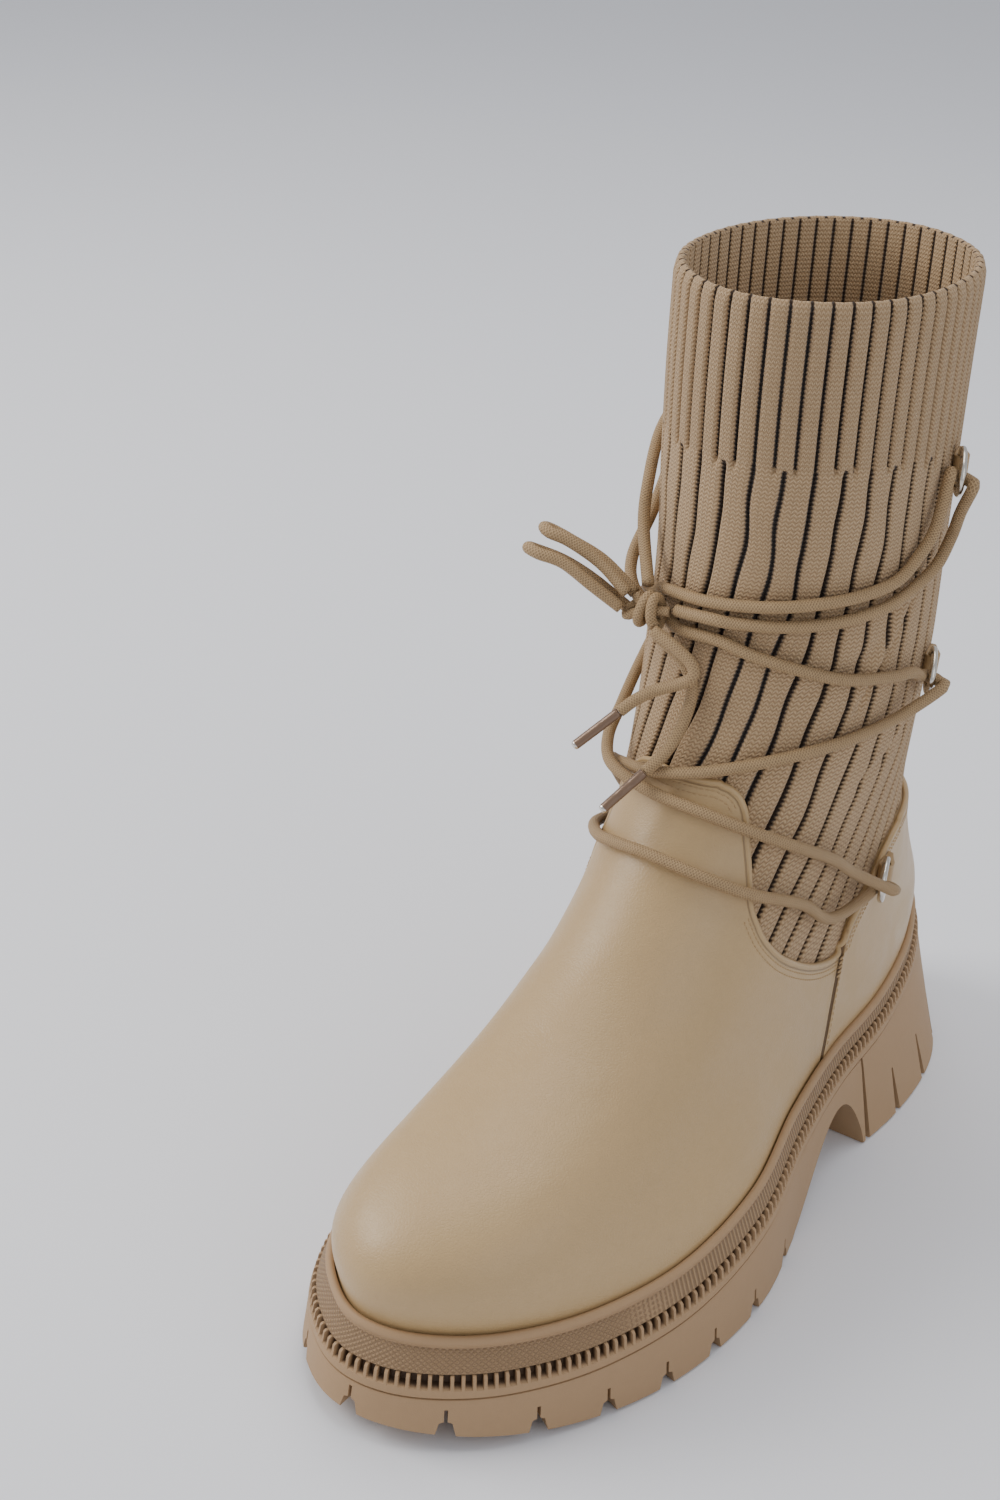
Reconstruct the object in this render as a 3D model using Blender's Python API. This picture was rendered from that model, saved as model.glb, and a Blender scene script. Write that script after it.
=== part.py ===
# Ankle boot: leather vamp and counter, knitted shaft, lugged rubber sole and a
# criss-crossed round lace.  Left boot, toe towards -Y, outer side at +X, sole on Z = 0.
import math
from collections import namedtuple

import bmesh
import bpy
import numpy as np
from mathutils import Vector

mm = 0.001

# Lengths along and across the foot
last_len = 255.0 * mm
ball_wid = 84.4 * mm
ankle_wid = 71.8 * mm
shaft_h = 250.0 * mm

# Heights of the line where the leather meets the sole
toe_seat_h = 29.4 * mm
heel_seat_h = 45.0 * mm

# Walls and running gap
gap = 0.3 * mm
leather_t = 1.6 * mm
knit_t = 2.2 * mm
counter_step = 0.6 * mm
seam_groove = 0.8 * mm
seam_wid = 1.0 * mm
insole_t = 2.2 * mm
leather_tuck = 2.4 * mm

# Bead, rand, ribs and ledge at the side of the sole
bead_h = 2.3 * mm
bead_out = 2.5 * mm
ledge_out_heel = 3.5 * mm
ledge_out_toe = 5.9 * mm
ledge_drop_heel = 6.8 * mm
ledge_drop_toe = 11.9 * mm
rib_h_heel = 2.7 * mm
rib_h_toe = 3.2 * mm
rib_depth = 1.7 * mm
rib_pitch = 2.65 * mm
ledge_lip = 0.7 * mm
ledge_h = 2.7 * mm

# Outsole
floor_out_fore = 7.7 * mm
floor_out_waist = 6.7 * mm
floor_out_heel = 15.0 * mm
floor_out_back = 10.0 * mm
toe_spring = 4.4 * mm
spring_from = 0.22
arch_h = 19.0 * mm
lug_depth = 15.0 * mm
lug_slot_h = 7.5 * mm
lug_slot_wid = 5.2 * mm
heel_slot_h = 14.0 * mm
heel_slot_wid = 3.0 * mm
breast_slot_h = 31.0 * mm
slot_tip = 0.9 * mm

# Seams and edges of the leather
tab_top_h = 127.0 * mm
gusset_h = 65.3 * mm
counter_h = 92.0 * mm
seam_run = 151.5 * mm
seam_lean = 0.30
seam_top_h = 90.0 * mm
knit_tuck = 10.0 * mm

# Rings, tabs and lace
ring_h = 13.0 * mm
ring_depth = 9.5 * mm
ring_wire = 1.9 * mm
ring_tilt = 16.0
tab_wid = 7.4 * mm
tab_len = 8.5 * mm
tab_t = 0.8 * mm
lace_d = 3.2 * mm
aglet_d = 2.6 * mm
aglet_len = 14.5 * mm

side_columns = 22
seam_column = 12

# Plan of the sole, toe to heel in equal steps of turn: outer and inner edge as
# shares of ball_wid, seat as the share of the rise from toe_seat_h to heel_seat_h.
SoleRow = namedtuple("SoleRow", "outer inner seat")
sole_rows = [
    SoleRow(-0.051, -0.051, 0.000),
    SoleRow(0.113, -0.186, -0.006),
    SoleRow(0.281, -0.326, -0.025),
    SoleRow(0.423, -0.412, -0.030),
    SoleRow(0.519, -0.432, 0.058),
    SoleRow(0.537, -0.380, 0.300),
    SoleRow(0.460, -0.296, 0.500),
    SoleRow(0.398, -0.268, 0.480),
    SoleRow(0.380, -0.288, 0.550),
    SoleRow(0.328, -0.300, 0.730),
    SoleRow(0.236, -0.228, 0.900),
    SoleRow(0.120, -0.120, 0.985),
    SoleRow(0.000, 0.000, 1.000),
]

# Levels of the upper, from the seat up.  front_y and back_y are shares of last_len
# from the middle of the foot, front_z and back_z shares of shaft_h, nose, rear, outer
# and inner shares of ankle_wid, and round says how far a level has left the sole's plan.
Level = namedtuple("Level", "front_y front_z back_y back_z nose rear outer inner round")
levels = [
    Level(-0.5000, 0.1176, 0.5000, 0.1800, 0.334, 0.230, 0.501, 0.440, 0.00),
    Level(-0.5070, 0.1450, 0.4980, 0.2060, 0.330, 0.235, 0.492, 0.404, 0.24),
    Level(-0.5035, 0.1710, 0.4830, 0.2320, 0.300, 0.240, 0.484, 0.366, 0.54),
    Level(-0.4840, 0.1970, 0.4620, 0.2600, 0.245, 0.245, 0.478, 0.349, 0.80),
    Level(-0.4440, 0.2210, 0.4420, 0.2880, 0.190, 0.250, 0.476, 0.350, 0.95),
    Level(-0.3840, 0.2440, 0.4240, 0.3180, 0.155, 0.255, 0.480, 0.362, 1.00),
    Level(-0.3110, 0.2690, 0.4100, 0.3500, 0.140, 0.260, 0.488, 0.386, 1.00),
    Level(-0.2370, 0.3010, 0.4000, 0.3840, 0.142, 0.266, 0.502, 0.418, 1.00),
    Level(-0.1640, 0.3450, 0.3930, 0.4200, 0.158, 0.274, 0.522, 0.462, 1.00),
    Level(-0.1030, 0.4010, 0.3880, 0.4560, 0.198, 0.284, 0.546, 0.504, 1.00),
    Level(-0.0520, 0.4690, 0.3840, 0.4950, 0.262, 0.299, 0.576, 0.560, 1.00),
    Level(-0.0210, 0.5420, 0.3810, 0.5440, 0.325, 0.320, 0.600, 0.597, 1.00),
    Level(-0.0080, 0.6080, 0.3780, 0.6040, 0.355, 0.341, 0.610, 0.610, 1.00),
    Level(-0.0040, 0.7000, 0.3750, 0.7000, 0.355, 0.341, 0.610, 0.610, 1.00),
    Level(-0.0120, 0.8000, 0.3720, 0.8000, 0.355, 0.341, 0.612, 0.632, 1.00),
    Level(-0.0180, 0.9000, 0.3700, 0.9000, 0.355, 0.341, 0.616, 0.645, 1.00),
    Level(-0.0200, 1.0000, 0.3700, 1.0000, 0.355, 0.341, 0.620, 0.650, 1.00),
]
leather_levels = 12
knit_from = 4


def read(rows, column, place):
    # Smooth curve through one column of a table whose rows are evenly spaced.
    last = len(rows) - 1
    place = min(max(place, 0.0), float(last))
    i = min(int(place), last - 1)
    f = place - i
    b = getattr(rows[i], column)
    c = getattr(rows[i + 1], column)
    a = getattr(rows[i - 1], column) if i > 0 else 2 * b - c
    d = getattr(rows[i + 2], column) if i + 2 <= last else 2 * c - b
    return 0.5 * (2 * b + (c - a) * f + (2 * a - 5 * b + 4 * c - d) * f * f
                  + (3 * b - a - 3 * c + d) * f ** 3)


def read_sole(column, turn):
    return read(sole_rows, column, abs(turn) / math.pi * (len(sole_rows) - 1))


def sole_plan(turn):
    # A point of the sole's edge in plan; turn runs from 0 at the toe to pi at the heel,
    # positive on the outer side.
    y = -0.5 * last_len * math.cos(turn)
    side = "outer" if turn >= 0 else "inner"
    return Vector((read_sole(side, turn) * ball_wid, y, 0.0))


def seat_height(turn):
    return toe_seat_h + (heel_seat_h - toe_seat_h) * read_sole("seat", turn)


def heelward(turn):
    # 0 at the toe, 1 at the heel.
    return 0.5 * (1 - math.cos(turn))


def sole_edge(turn, out, z):
    step = 0.02
    ahead = sole_plan(min(turn + step, math.pi) if turn < math.pi else -math.pi + step)
    behind = sole_plan(max(turn - step, -math.pi))
    along = (ahead - behind).normalized()
    point = sole_plan(turn)
    return Vector((point.x + along.y * out, point.y - along.x * out, z))


def seam_line(height):
    # How far back the side seam runs at a height.
    return -0.5 * last_len + seam_run + seam_lean * (min(height, seam_top_h) - toe_seat_h)


def column_turns(level):
    # Columns spaced so that one of them follows the side seam.
    front = read(levels, "front_y", level) * last_len
    back = read(levels, "back_y", level) * last_len
    height = 0.5 * (read(levels, "front_z", level) + read(levels, "back_z", level)) * shaft_h
    share = min(max((seam_line(height) - front) / (back - front), 0.2), 0.8)
    seam = math.pi * seam_column / side_columns
    pull = (math.acos(1 - 2 * share) - seam) / math.sin(seam)
    turns = []
    for i in range(side_columns + 1):
        turn = math.pi * i / side_columns
        turns.append(turn + pull * math.sin(turn))
    return turns


def column_turn(level, column):
    # Turn of a column, also between two columns, with its sign for the side.
    turns = column_turns(level)
    place = abs(column)
    i = min(int(place), side_columns - 1)
    turn = turns[i] + (turns[i + 1] - turns[i]) * (place - i)
    return turn if column >= 0 else -turn


def blunt(a, b, c):
    # Smooth least of three widths.
    if min(a, c) < 1e-7:
        return 0.0
    return (a ** -4 + b ** -4 + c ** -4) ** -0.25


def wall_at(level, turn):
    # Outer face of the leather at a level and a turn.
    if abs(turn) > math.pi:
        turn -= math.copysign(2 * math.pi, turn)
    front_y = read(levels, "front_y", level) * last_len
    back_y = read(levels, "back_y", level) * last_len
    front_z = read(levels, "front_z", level) * shaft_h
    back_z = read(levels, "back_z", level) * shaft_h
    share = heelward(turn)
    run = back_y - front_y
    y = front_y + run * share
    side = "outer" if turn >= 0 else "inner"
    reach = read(levels, side, level) * ankle_wid
    nose = math.sqrt(2 * read(levels, "nose", level) * ankle_wid * run * share)
    rear = math.sqrt(2 * read(levels, "rear", level) * ankle_wid * run * (1 - share))
    width = blunt(nose, reach, rear)
    rounded = read(levels, "round", level)
    tip = read_sole("outer", 0.0) * ball_wid * (1 - share) * (1 - share)
    bend = (1 - min(max(level / 8.0, 0.0), 1.0)) ** 2
    free_x = tip * bend + (width if turn >= 0 else -width)
    sole_x = read_sole(side, turn) * ball_wid
    x = (1 - rounded) * sole_x + rounded * free_x
    level_z = front_z + (back_z - front_z) * share
    seat_z = toe_seat_h + (heel_seat_h - toe_seat_h) * share
    z = level_z + (1 - rounded) * (seat_height(turn) - seat_z)
    return Vector((x, y, z))


def wall_normal(level, turn):
    du = 0.02
    dv = 0.05
    low = max(level - dv, 0.0)
    high = min(level + dv, len(levels) - 1.0)
    across = wall_at(level, turn + du) - wall_at(level, turn - du)
    up = wall_at(high, turn) - wall_at(low, turn)
    return across.cross(up).normalized()


def on_wall(level, turn, out):
    return wall_at(level, turn) + wall_normal(level, turn) * out


def at_height(turn, height, out):
    # Point of the wall at a turn and a height.
    low = 0.0
    high = len(levels) - 1.0
    for _ in range(28):
        level = 0.5 * (low + high)
        if wall_at(level, turn).z < height:
            low = level
        else:
            high = level
    return on_wall(level, turn, out), wall_normal(level, turn), level


def beside(side, y, height):
    # Turn of the wall point at a given run along the foot and height.
    low = 0.15
    high = math.pi - 0.15
    for _ in range(26):
        turn = 0.5 * (low + high)
        if at_height(side * turn, height, 0.0)[0].y < y:
            low = turn
        else:
            high = turn
    return side * turn


def material(name, colour, rough, metal):
    made = bpy.data.materials.new(name)
    made.use_nodes = True
    shader = made.node_tree.nodes["Principled BSDF"]
    shader.inputs["Base Color"].default_value = (*colour, 1.0)
    shader.inputs["Roughness"].default_value = rough
    shader.inputs["Metallic"].default_value = metal
    return made


def add(name, verts, faces, look, sharp=40.0):
    mesh = bpy.data.meshes.new(name)
    mesh.from_pydata([tuple(v) for v in verts], [], faces)
    bm = bmesh.new()
    bm.from_mesh(mesh)
    bmesh.ops.recalc_face_normals(bm, faces=bm.faces)
    bm.to_mesh(mesh)
    bm.free()
    mesh.shade_smooth()
    mesh.set_sharp_from_angle(angle=math.radians(sharp))
    thing = bpy.data.objects.new(name, mesh)
    bpy.context.scene.collection.objects.link(thing)
    thing.parent = boot
    if look:
        mesh.materials.append(look)
    return thing


def loop_faces(first, second, count):
    return [(first + i, first + (i + 1) % count, second + (i + 1) % count, second + i)
            for i in range(count)]


def rungs(start, count, flip):
    # Closes a loop that mirrors about its ends with strips from side to side.
    half = count // 2
    faces = [(start, start + 1, start + count - 1)]
    for i in range(1, half - 1):
        faces.append((start + i, start + i + 1, start + count - i - 1, start + count - i))
    faces.append((start + half - 1, start + half, start + half + 1))
    return [tuple(reversed(f)) for f in faces] if flip else faces


def slab(name, loops, look, sharp=40.0):
    # Closed body from a stack of loops of one size, filled at top and bottom.
    count = len(loops[0])
    verts = [p for loop in loops for p in loop]
    faces = []
    for k in range(len(loops) - 1):
        faces += loop_faces(k * count, (k + 1) * count, count)
    faces += rungs(0, count, False)
    faces += rungs((len(loops) - 1) * count, count, True)
    return add(name, verts, faces, look, sharp)


def band(name, loops, look, sharp=40.0):
    # Closed ring-shaped body whose loops go round its section.
    count = len(loops[0])
    verts = [p for loop in loops for p in loop]
    faces = []
    for k in range(len(loops)):
        faces += loop_faces(k * count, ((k + 1) % len(loops)) * count, count)
    return add(name, verts, faces, look, sharp)


def cutter(name, verts, faces):
    thing = add(name, verts, faces, None)
    thing.hide_render = True
    thing.display_type = "WIRE"
    return thing


def carve(thing, tool):
    cut = thing.modifiers.new("cut", "BOOLEAN")
    cut.operation = "DIFFERENCE"
    cut.solver = "EXACT"
    cut.object = tool


def side_profile(name, points, half):
    # Prism across the boot with a given side view.
    count = len(points)
    verts = [Vector((-half, y, z)) for y, z in points]
    verts += [Vector((half, y, z)) for y, z in points]
    faces = loop_faces(0, count, count)
    faces.append(tuple(range(count)))
    faces.append(tuple(range(2 * count - 1, count - 1, -1)))
    return cutter(name, verts, faces)


def smooth_path(points, spacing, closed=False):
    # Points about spacing apart on a smooth curve through the given ones.
    pts = [Vector(p) for p in points]
    path = []
    spans = len(pts) if closed else len(pts) - 1
    for i in range(spans):
        b = pts[i]
        c = pts[(i + 1) % len(pts)]
        a = pts[i - 1] if closed or i > 0 else 2 * b - c
        d = pts[(i + 2) % len(pts)] if closed or i + 2 < len(pts) else 2 * c - b
        steps = max(1, round((c - b).length / spacing))
        for s in range(steps):
            f = s / steps
            path.append(0.5 * (2 * b + (c - a) * f + (2 * a - 5 * b + 4 * c - d) * f * f
                               + (3 * b - a - 3 * c + d) * f ** 3))
    if not closed:
        path.append(pts[-1])
    return path


def cord(name, path, diameter, look):
    curve = bpy.data.curves.new(name, "CURVE")
    curve.dimensions = "3D"
    curve.bevel_depth = diameter / 2
    curve.bevel_resolution = 2
    curve.use_fill_caps = True
    line = curve.splines.new("POLY")
    line.points.add(len(path) - 1)
    for point, place in zip(line.points, path):
        point.co = (*place, 1.0)
    curve.materials.append(look)
    thing = bpy.data.objects.new(name, curve)
    bpy.context.scene.collection.objects.link(thing)
    thing.parent = boot
    return thing


for old in list(bpy.data.objects):
    bpy.data.objects.remove(old, do_unlink=True)

boot = bpy.data.objects.new("boot", None)
bpy.context.scene.collection.objects.link(boot)

tan_leather = material("tan_leather", (0.53, 0.38, 0.22), 0.42, 0.0)
tan_knit = material("tan_knit", (0.50, 0.36, 0.22), 0.90, 0.0)
tan_rubber = material("tan_rubber", (0.45, 0.31, 0.19), 0.62, 0.0)
tan_board = material("tan_board", (0.52, 0.40, 0.27), 0.80, 0.0)
tan_lace = material("tan_lace", (0.49, 0.35, 0.22), 0.70, 0.0)
ring_steel = material("ring_steel", (0.62, 0.60, 0.56), 0.25, 1.0)
aglet_brown = material("aglet_brown", (0.40, 0.28, 0.19), 0.30, 0.0)

# Signed columns round the boot: toe, outer side, heel, inner side
round_columns = list(range(side_columns + 1)) + list(range(1 - side_columns, 0))


def sole_loop(out, drop):
    # Loop round the sole at an outward and a downward distance from the seat line.
    loop = []
    for column in round_columns:
        turn = column_turn(0.0, column)
        share = 1 - heelward(turn)
        loop.append(sole_edge(turn, out(share), seat_height(turn) - drop(share)))
    return loop


def blend(heel, toe):
    return lambda share: heel + (toe - heel) * share


def fixed(value):
    return lambda share: value


def plus(first, second):
    return lambda share: first(share) + second(share)


ledge_out = blend(ledge_out_heel, ledge_out_toe)
ledge_drop = blend(ledge_drop_heel, ledge_drop_toe)
rib_h = blend(rib_h_heel, rib_h_toe)
rand_drop = lambda share: ledge_drop(share) - rib_h(share)
rand_out = lambda share: ledge_out(share) - 0.7 * rib_depth

# Welt: rolled bead over a rand, standing just outside the leather
welt = band("welt", [
    sole_loop(fixed(gap), fixed(0.35 * bead_h)),
    sole_loop(fixed(0.35 * bead_out), fixed(0.06 * bead_h)),
    sole_loop(fixed(0.65 * bead_out), fixed(0.04 * bead_h)),
    sole_loop(fixed(0.94 * bead_out), fixed(0.32 * bead_h)),
    sole_loop(fixed(bead_out), fixed(0.66 * bead_h)),
    sole_loop(fixed(0.86 * bead_out), fixed(bead_h)),
    sole_loop(rand_out, rand_drop),
    sole_loop(fixed(gap), rand_drop),
], tan_rubber, 50.0)

# Midsole: plug under the insole, ring of upright ribs and a protruding ledge
plug_top = sole_loop(fixed(0.0), fixed(leather_tuck + 2 * gap))
plug_low = sole_loop(fixed(0.0), plus(rand_drop, fixed(gap)))
ledge_top = sole_loop(ledge_out, ledge_drop)
ledge_low = sole_loop(plus(ledge_out, fixed(ledge_lip)), plus(ledge_drop, fixed(ledge_h)))


def rib_turns():
    # Turns evenly spaced along the edge of the sole, one for each flank of a rib.
    fine = [math.pi * (i / 400.0 - 1) for i in range(801)]
    place = [sole_edge(t, ledge_out(1 - heelward(t)), 0.0) for t in fine]
    length = [0.0]
    for a, b in zip(place, place[1:]):
        length.append(length[-1] + (b - a).length)
    count = 2 * round(length[-1] / rib_pitch)
    spots = [length[-1] * i / count for i in range(count)]
    return list(np.interp(spots, length, fine))


def rib_loop(drop):
    loop = []
    for i, turn in enumerate(rib_turns()):
        share = 1 - heelward(turn)
        out = ledge_out(share) - (0.2 * mm if i % 2 else rib_depth)
        loop.append(sole_edge(turn, out, seat_height(turn) - drop(share)))
    return loop


def join_loops(many, few, many_start, few_start, many_turn, few_turn):
    # Fan of triangles from a fine loop to a coarse one; both run with rising turn.
    faces = []
    n = len(many)
    m = len(few)
    i = 0
    j = 0
    while i < n or j < m:
        next_i = many_turn[i + 1] if i < n else 1e9
        next_j = few_turn[j + 1] if j < m else 1e9
        if next_i <= next_j:
            faces.append((many_start + i % n, many_start + (i + 1) % n, few_start + j % m))
            i += 1
        else:
            faces.append((many_start + i % n, few_start + (j + 1) % m, few_start + j % m))
            j += 1
    return faces


def build_midsole():
    # The coarse loops start at the inner side of the heel so that every loop runs with
    # rising turn, as the ribs do.
    order = sorted(range(len(round_columns)), key=lambda i: round_columns[i]
                   if round_columns[i] < side_columns else -side_columns)
    few_turn = [column_turn(0.0, round_columns[i]) for i in order]
    few_turn[0] = -math.pi
    few_turn = few_turn + [math.pi]
    many_turn = rib_turns() + [math.pi]
    count = len(order)
    ribs = len(many_turn) - 1
    verts = []
    for loop in (plug_top, plug_low):
        verts += [loop[i] for i in order]
    many_start = len(verts)
    verts += rib_loop(plus(rand_drop, fixed(gap)))
    verts += rib_loop(ledge_drop)
    last_start = len(verts)
    for loop in (ledge_top, ledge_low):
        verts += [loop[i] for i in order]
    faces = loop_faces(0, count, count)
    faces += join_loops(range(ribs), range(count), many_start, count, many_turn, few_turn)
    faces += loop_faces(many_start, many_start + ribs, ribs)
    faces += join_loops(range(ribs), range(count), many_start + ribs, last_start,
                        many_turn, few_turn)
    faces += loop_faces(last_start, last_start + count, count)
    faces += rungs(0, count, False)
    faces += rungs(last_start + count, count, True)
    return add("midsole", verts, faces, tan_rubber, 35.0)


midsole = build_midsole()

# Insole board inside the leather
inside = fixed(-leather_t - gap)
insole = slab("insole", [
    sole_loop(inside, fixed(leather_tuck + gap - insole_t)),
    sole_loop(inside, fixed(leather_tuck + gap)),
], tan_board)

# Outsole: flared block with toe spring, cut by the arch and the gaps between the lugs


def floor_out(share):
    heel = 1 - share
    waist = math.exp(-((heel - 0.52) / 0.10) ** 2)
    rise = 1 / (1 + math.exp(-(heel - 0.72) / 0.07))
    base = floor_out_fore + (floor_out_heel - floor_out_fore) * rise
    base += (floor_out_back - floor_out_heel) * math.exp(-((1 - heel) / 0.07) ** 2)
    return base + (floor_out_waist - floor_out_fore) * waist * (1 - rise)


def floor_z(y):
    start = -0.5 * last_len + spring_from * last_len
    past = max(start - y, 0.0) / (spring_from * last_len)
    return toe_spring * past * past


def block_loop(down):
    # Loop of the outsole's wall, down from its top at 0 to the floor at 1.
    loop = []
    for column in round_columns:
        turn = column_turn(0.0, column)
        share = 1 - heelward(turn)
        top_out = ledge_out(share) + ledge_lip
        out = top_out + (floor_out(share) - top_out) * down
        low = sole_edge(turn, floor_out(share), 0.0)
        top = seat_height(turn) - ledge_drop(share) - ledge_h - gap
        z = top + (floor_z(low.y) - top) * down
        loop.append(sole_edge(turn, out, z))
    return loop


outsole = slab("outsole", [block_loop(0.0), block_loop(0.12), block_loop(0.6), block_loop(1.0)],
               tan_rubber)

# Side view of the arch: run behind the front of the heel breast as shares of its
# length, height as shares of arch_h
arch_front = -0.026 * last_len
arch_back = 0.182 * last_len
ArchRow = namedtuple("ArchRow", "run rise")
arch_rows = [
    ArchRow(-0.01, -0.30), ArchRow(0.02, 0.02), ArchRow(0.14, 0.17), ArchRow(0.29, 0.46),
    ArchRow(0.44, 0.75), ArchRow(0.58, 0.94), ArchRow(0.70, 1.00), ArchRow(0.80, 0.94),
    ArchRow(0.88, 0.76), ArchRow(0.94, 0.48), ArchRow(0.98, 0.16), ArchRow(1.00, -0.30),
]
arch = side_profile("arch_cut", [
    (arch_front + (arch_back - arch_front) * row.run, arch_h * row.rise) for row in arch_rows
], 1.2 * ball_wid)
carve(outsole, arch)

# Gaps between the lugs: run from the toe along the floor's edge as shares of last_len
fore_slots = (0.0, 0.096, 0.186, 0.262, 0.335, 0.407, 0.483, 0.573)
SlotRow = namedtuple("SlotRow", "run height width")
heel_slots = [
    SlotRow(0.6890, breast_slot_h, 0.8 * heel_slot_wid),
    SlotRow(0.7610, heel_slot_h, heel_slot_wid),
    SlotRow(0.8440, heel_slot_h, heel_slot_wid),
    SlotRow(0.9290, heel_slot_h, heel_slot_wid),
]


def turn_at_run(run, side):
    # Turn of the floor's edge at a distance from the toe along it.
    gone = 0.0
    last = sole_edge(0.0, floor_out(1.0), 0.0)
    turn = 0.0
    while gone < run and turn < math.pi:
        turn += 0.004
        here = sole_edge(side * turn, floor_out(1 - heelward(turn)), 0.0)
        gone += (here - last).length
        last = here
    return side * turn


def turn_at_y(y, side):
    low = 0.0
    high = math.pi
    for _ in range(30):
        turn = 0.5 * (low + high)
        if sole_edge(side * turn, floor_out(1 - heelward(turn)), 0.0).y < y:
            low = turn
        else:
            high = turn
    return side * turn


def slot_wedge(verts, faces, turn, height, width):
    share = 1 - heelward(turn)
    edge = sole_edge(turn, floor_out(share), 0.0)
    foot = floor_z(edge.y)
    out = (sole_edge(turn, 10 * mm, 0.0) - sole_edge(turn, 0.0, 0.0)).normalized()
    along = Vector((-out.y, out.x, 0.0))
    up = Vector((0.0, 0.0, 1.0))
    flare = (width - slot_tip) / height
    deep = 3 * mm
    section = [
        (-0.5 * (width + flare * deep), foot - deep),
        (0.5 * (width + flare * deep), foot - deep),
        (0.5 * slot_tip, foot + height),
        (-0.5 * slot_tip, foot + height),
    ]
    start = len(verts)
    for reach in (-lug_depth, 10 * mm):
        for wide, z in section:
            verts.append(edge + out * reach + along * wide + up * z)
    faces.append((start, start + 1, start + 2, start + 3))
    faces.append((start + 7, start + 6, start + 5, start + 4))
    faces += loop_faces(start, start + 4, 4)


slot_verts = []
slot_faces = []
for share in fore_slots:
    for side in ((1,) if share == 0 else (1, -1)):
        slot_wedge(slot_verts, slot_faces, turn_at_run(share * last_len, side),
                   lug_slot_h, lug_slot_wid)
for row in heel_slots:
    for side in (1, -1):
        y = (row.run - 0.5) * last_len
        slot_wedge(slot_verts, slot_faces, turn_at_y(y, side), row.height, row.width)
slots = cutter("slot_cuts", slot_verts, slot_faces)
carve(outsole, slots)


def shell(name, rows, columns, outer, inner, look, sharp=40.0):
    # Closed wall between an outer and an inner offset of the boot's own wall.
    verts = []
    for offset in (outer, inner):
        for row in rows:
            for column in columns:
                turn = column_turn(max(row, 0.0), column)
                point = on_wall(max(row, 0.0), turn, offset(row, column))
                if row < 0:
                    flat = sole_edge(turn, offset(row, column), 0.0)
                    point = Vector((flat.x, flat.y, seat_height(turn) - leather_tuck))
                verts.append(point)
    count = len(columns)
    wall = len(rows) * count
    faces = []
    for k in range(len(rows) - 1):
        faces += loop_faces(k * count, (k + 1) * count, count)
        faces += loop_faces(wall + (k + 1) * count, wall + k * count, count)
    faces += loop_faces(wall, 0, count)
    faces += loop_faces((len(rows) - 1) * count, wall + (len(rows) - 1) * count, count)
    return add(name, verts, faces, look, sharp)


# Leather upper with a groove at each side seam and the counter a step proud
seam_half = seam_wid / (0.5 * last_len) * side_columns / math.pi
leather_columns = []
for column in round_columns:
    if abs(column) == seam_column:
        leather_columns += [column - seam_half, column, column + seam_half]
    else:
        leather_columns.append(column)


def leather_face(row, column):
    if row <= 0:
        return 0.0
    place = abs(column) - seam_column
    if abs(place) < 0.5 * seam_half:
        return -seam_groove
    return counter_step if place > 0 else 0.0


upper = shell("upper", [-1] + list(range(leather_levels)), leather_columns, leather_face,
              lambda row, column: -leather_t, tan_leather, 35.0)

# Side view of the leather's top edge, front to back
EdgeRow = namedtuple("EdgeRow", "y z")
edge_rows = [
    EdgeRow(-0.400, tab_top_h), EdgeRow(-0.040, tab_top_h), EdgeRow(-0.024, tab_top_h - 0.2 * mm),
    EdgeRow(-0.017, tab_top_h - 2.5 * mm), EdgeRow(-0.0155, tab_top_h - 7 * mm),
    EdgeRow(-0.020, tab_top_h - 13.5 * mm), EdgeRow(-0.0275, gusset_h + 37 * mm),
    EdgeRow(-0.0298, gusset_h + 32 * mm), EdgeRow(-0.0280, gusset_h + 28 * mm),
    EdgeRow(-0.0196, gusset_h + 21.5 * mm), EdgeRow(0.0016, gusset_h + 15 * mm),
    EdgeRow(0.0310, gusset_h + 9.5 * mm), EdgeRow(0.0700, gusset_h + 4 * mm),
    EdgeRow(0.1050, gusset_h + 0.8 * mm), EdgeRow(0.1280, gusset_h),
    EdgeRow(0.1380, gusset_h + 1.6 * mm), EdgeRow(0.1520, gusset_h + 6.5 * mm),
    EdgeRow(0.1740, counter_h - 16 * mm), EdgeRow(0.2040, counter_h - 11 * mm),
    EdgeRow(0.2300, counter_h - 5 * mm), EdgeRow(0.2700, counter_h - 1.5 * mm),
    EdgeRow(0.3300, counter_h), EdgeRow(0.8000, counter_h),
]
edge_line = [(row.y * last_len, row.z) for row in edge_rows]
over = shaft_h
edge_cut = side_profile("edge_cut", edge_line + [
    (0.8 * last_len, over), (-0.4 * last_len, over),
], 1.2 * ball_wid)
carve(upper, edge_cut)

# Knitted shaft, its lower edge tucked down inside the leather
knit_out = -leather_t - gap
shaft_levels = list(range(knit_from, 15)) + [len(levels) - 1]
shaft = shell("shaft", shaft_levels, round_columns,
              lambda row, column: knit_out, lambda row, column: knit_out - knit_t,
              tan_knit, 60.0)
hem_line = [
    (-0.8 * last_len, tab_top_h - 20 * mm), (-0.11 * last_len, tab_top_h - 20 * mm),
    (-0.045 * last_len, 0.5 * (tab_top_h + gusset_h)), (-0.01 * last_len, gusset_h + 8 * mm),
    (0.03 * last_len, gusset_h), (0.08 * last_len, gusset_h - 0.7 * knit_tuck),
    (0.13 * last_len, gusset_h - knit_tuck), (0.20 * last_len, gusset_h - 0.8 * knit_tuck),
    (0.30 * last_len, counter_h - 2.4 * knit_tuck), (0.8 * last_len, counter_h - 2 * knit_tuck),
]
hem_cut = side_profile("hem_cut", hem_line + [(0.8 * last_len, 0.0), (-0.8 * last_len, 0.0)],
                       1.2 * ball_wid)
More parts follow.
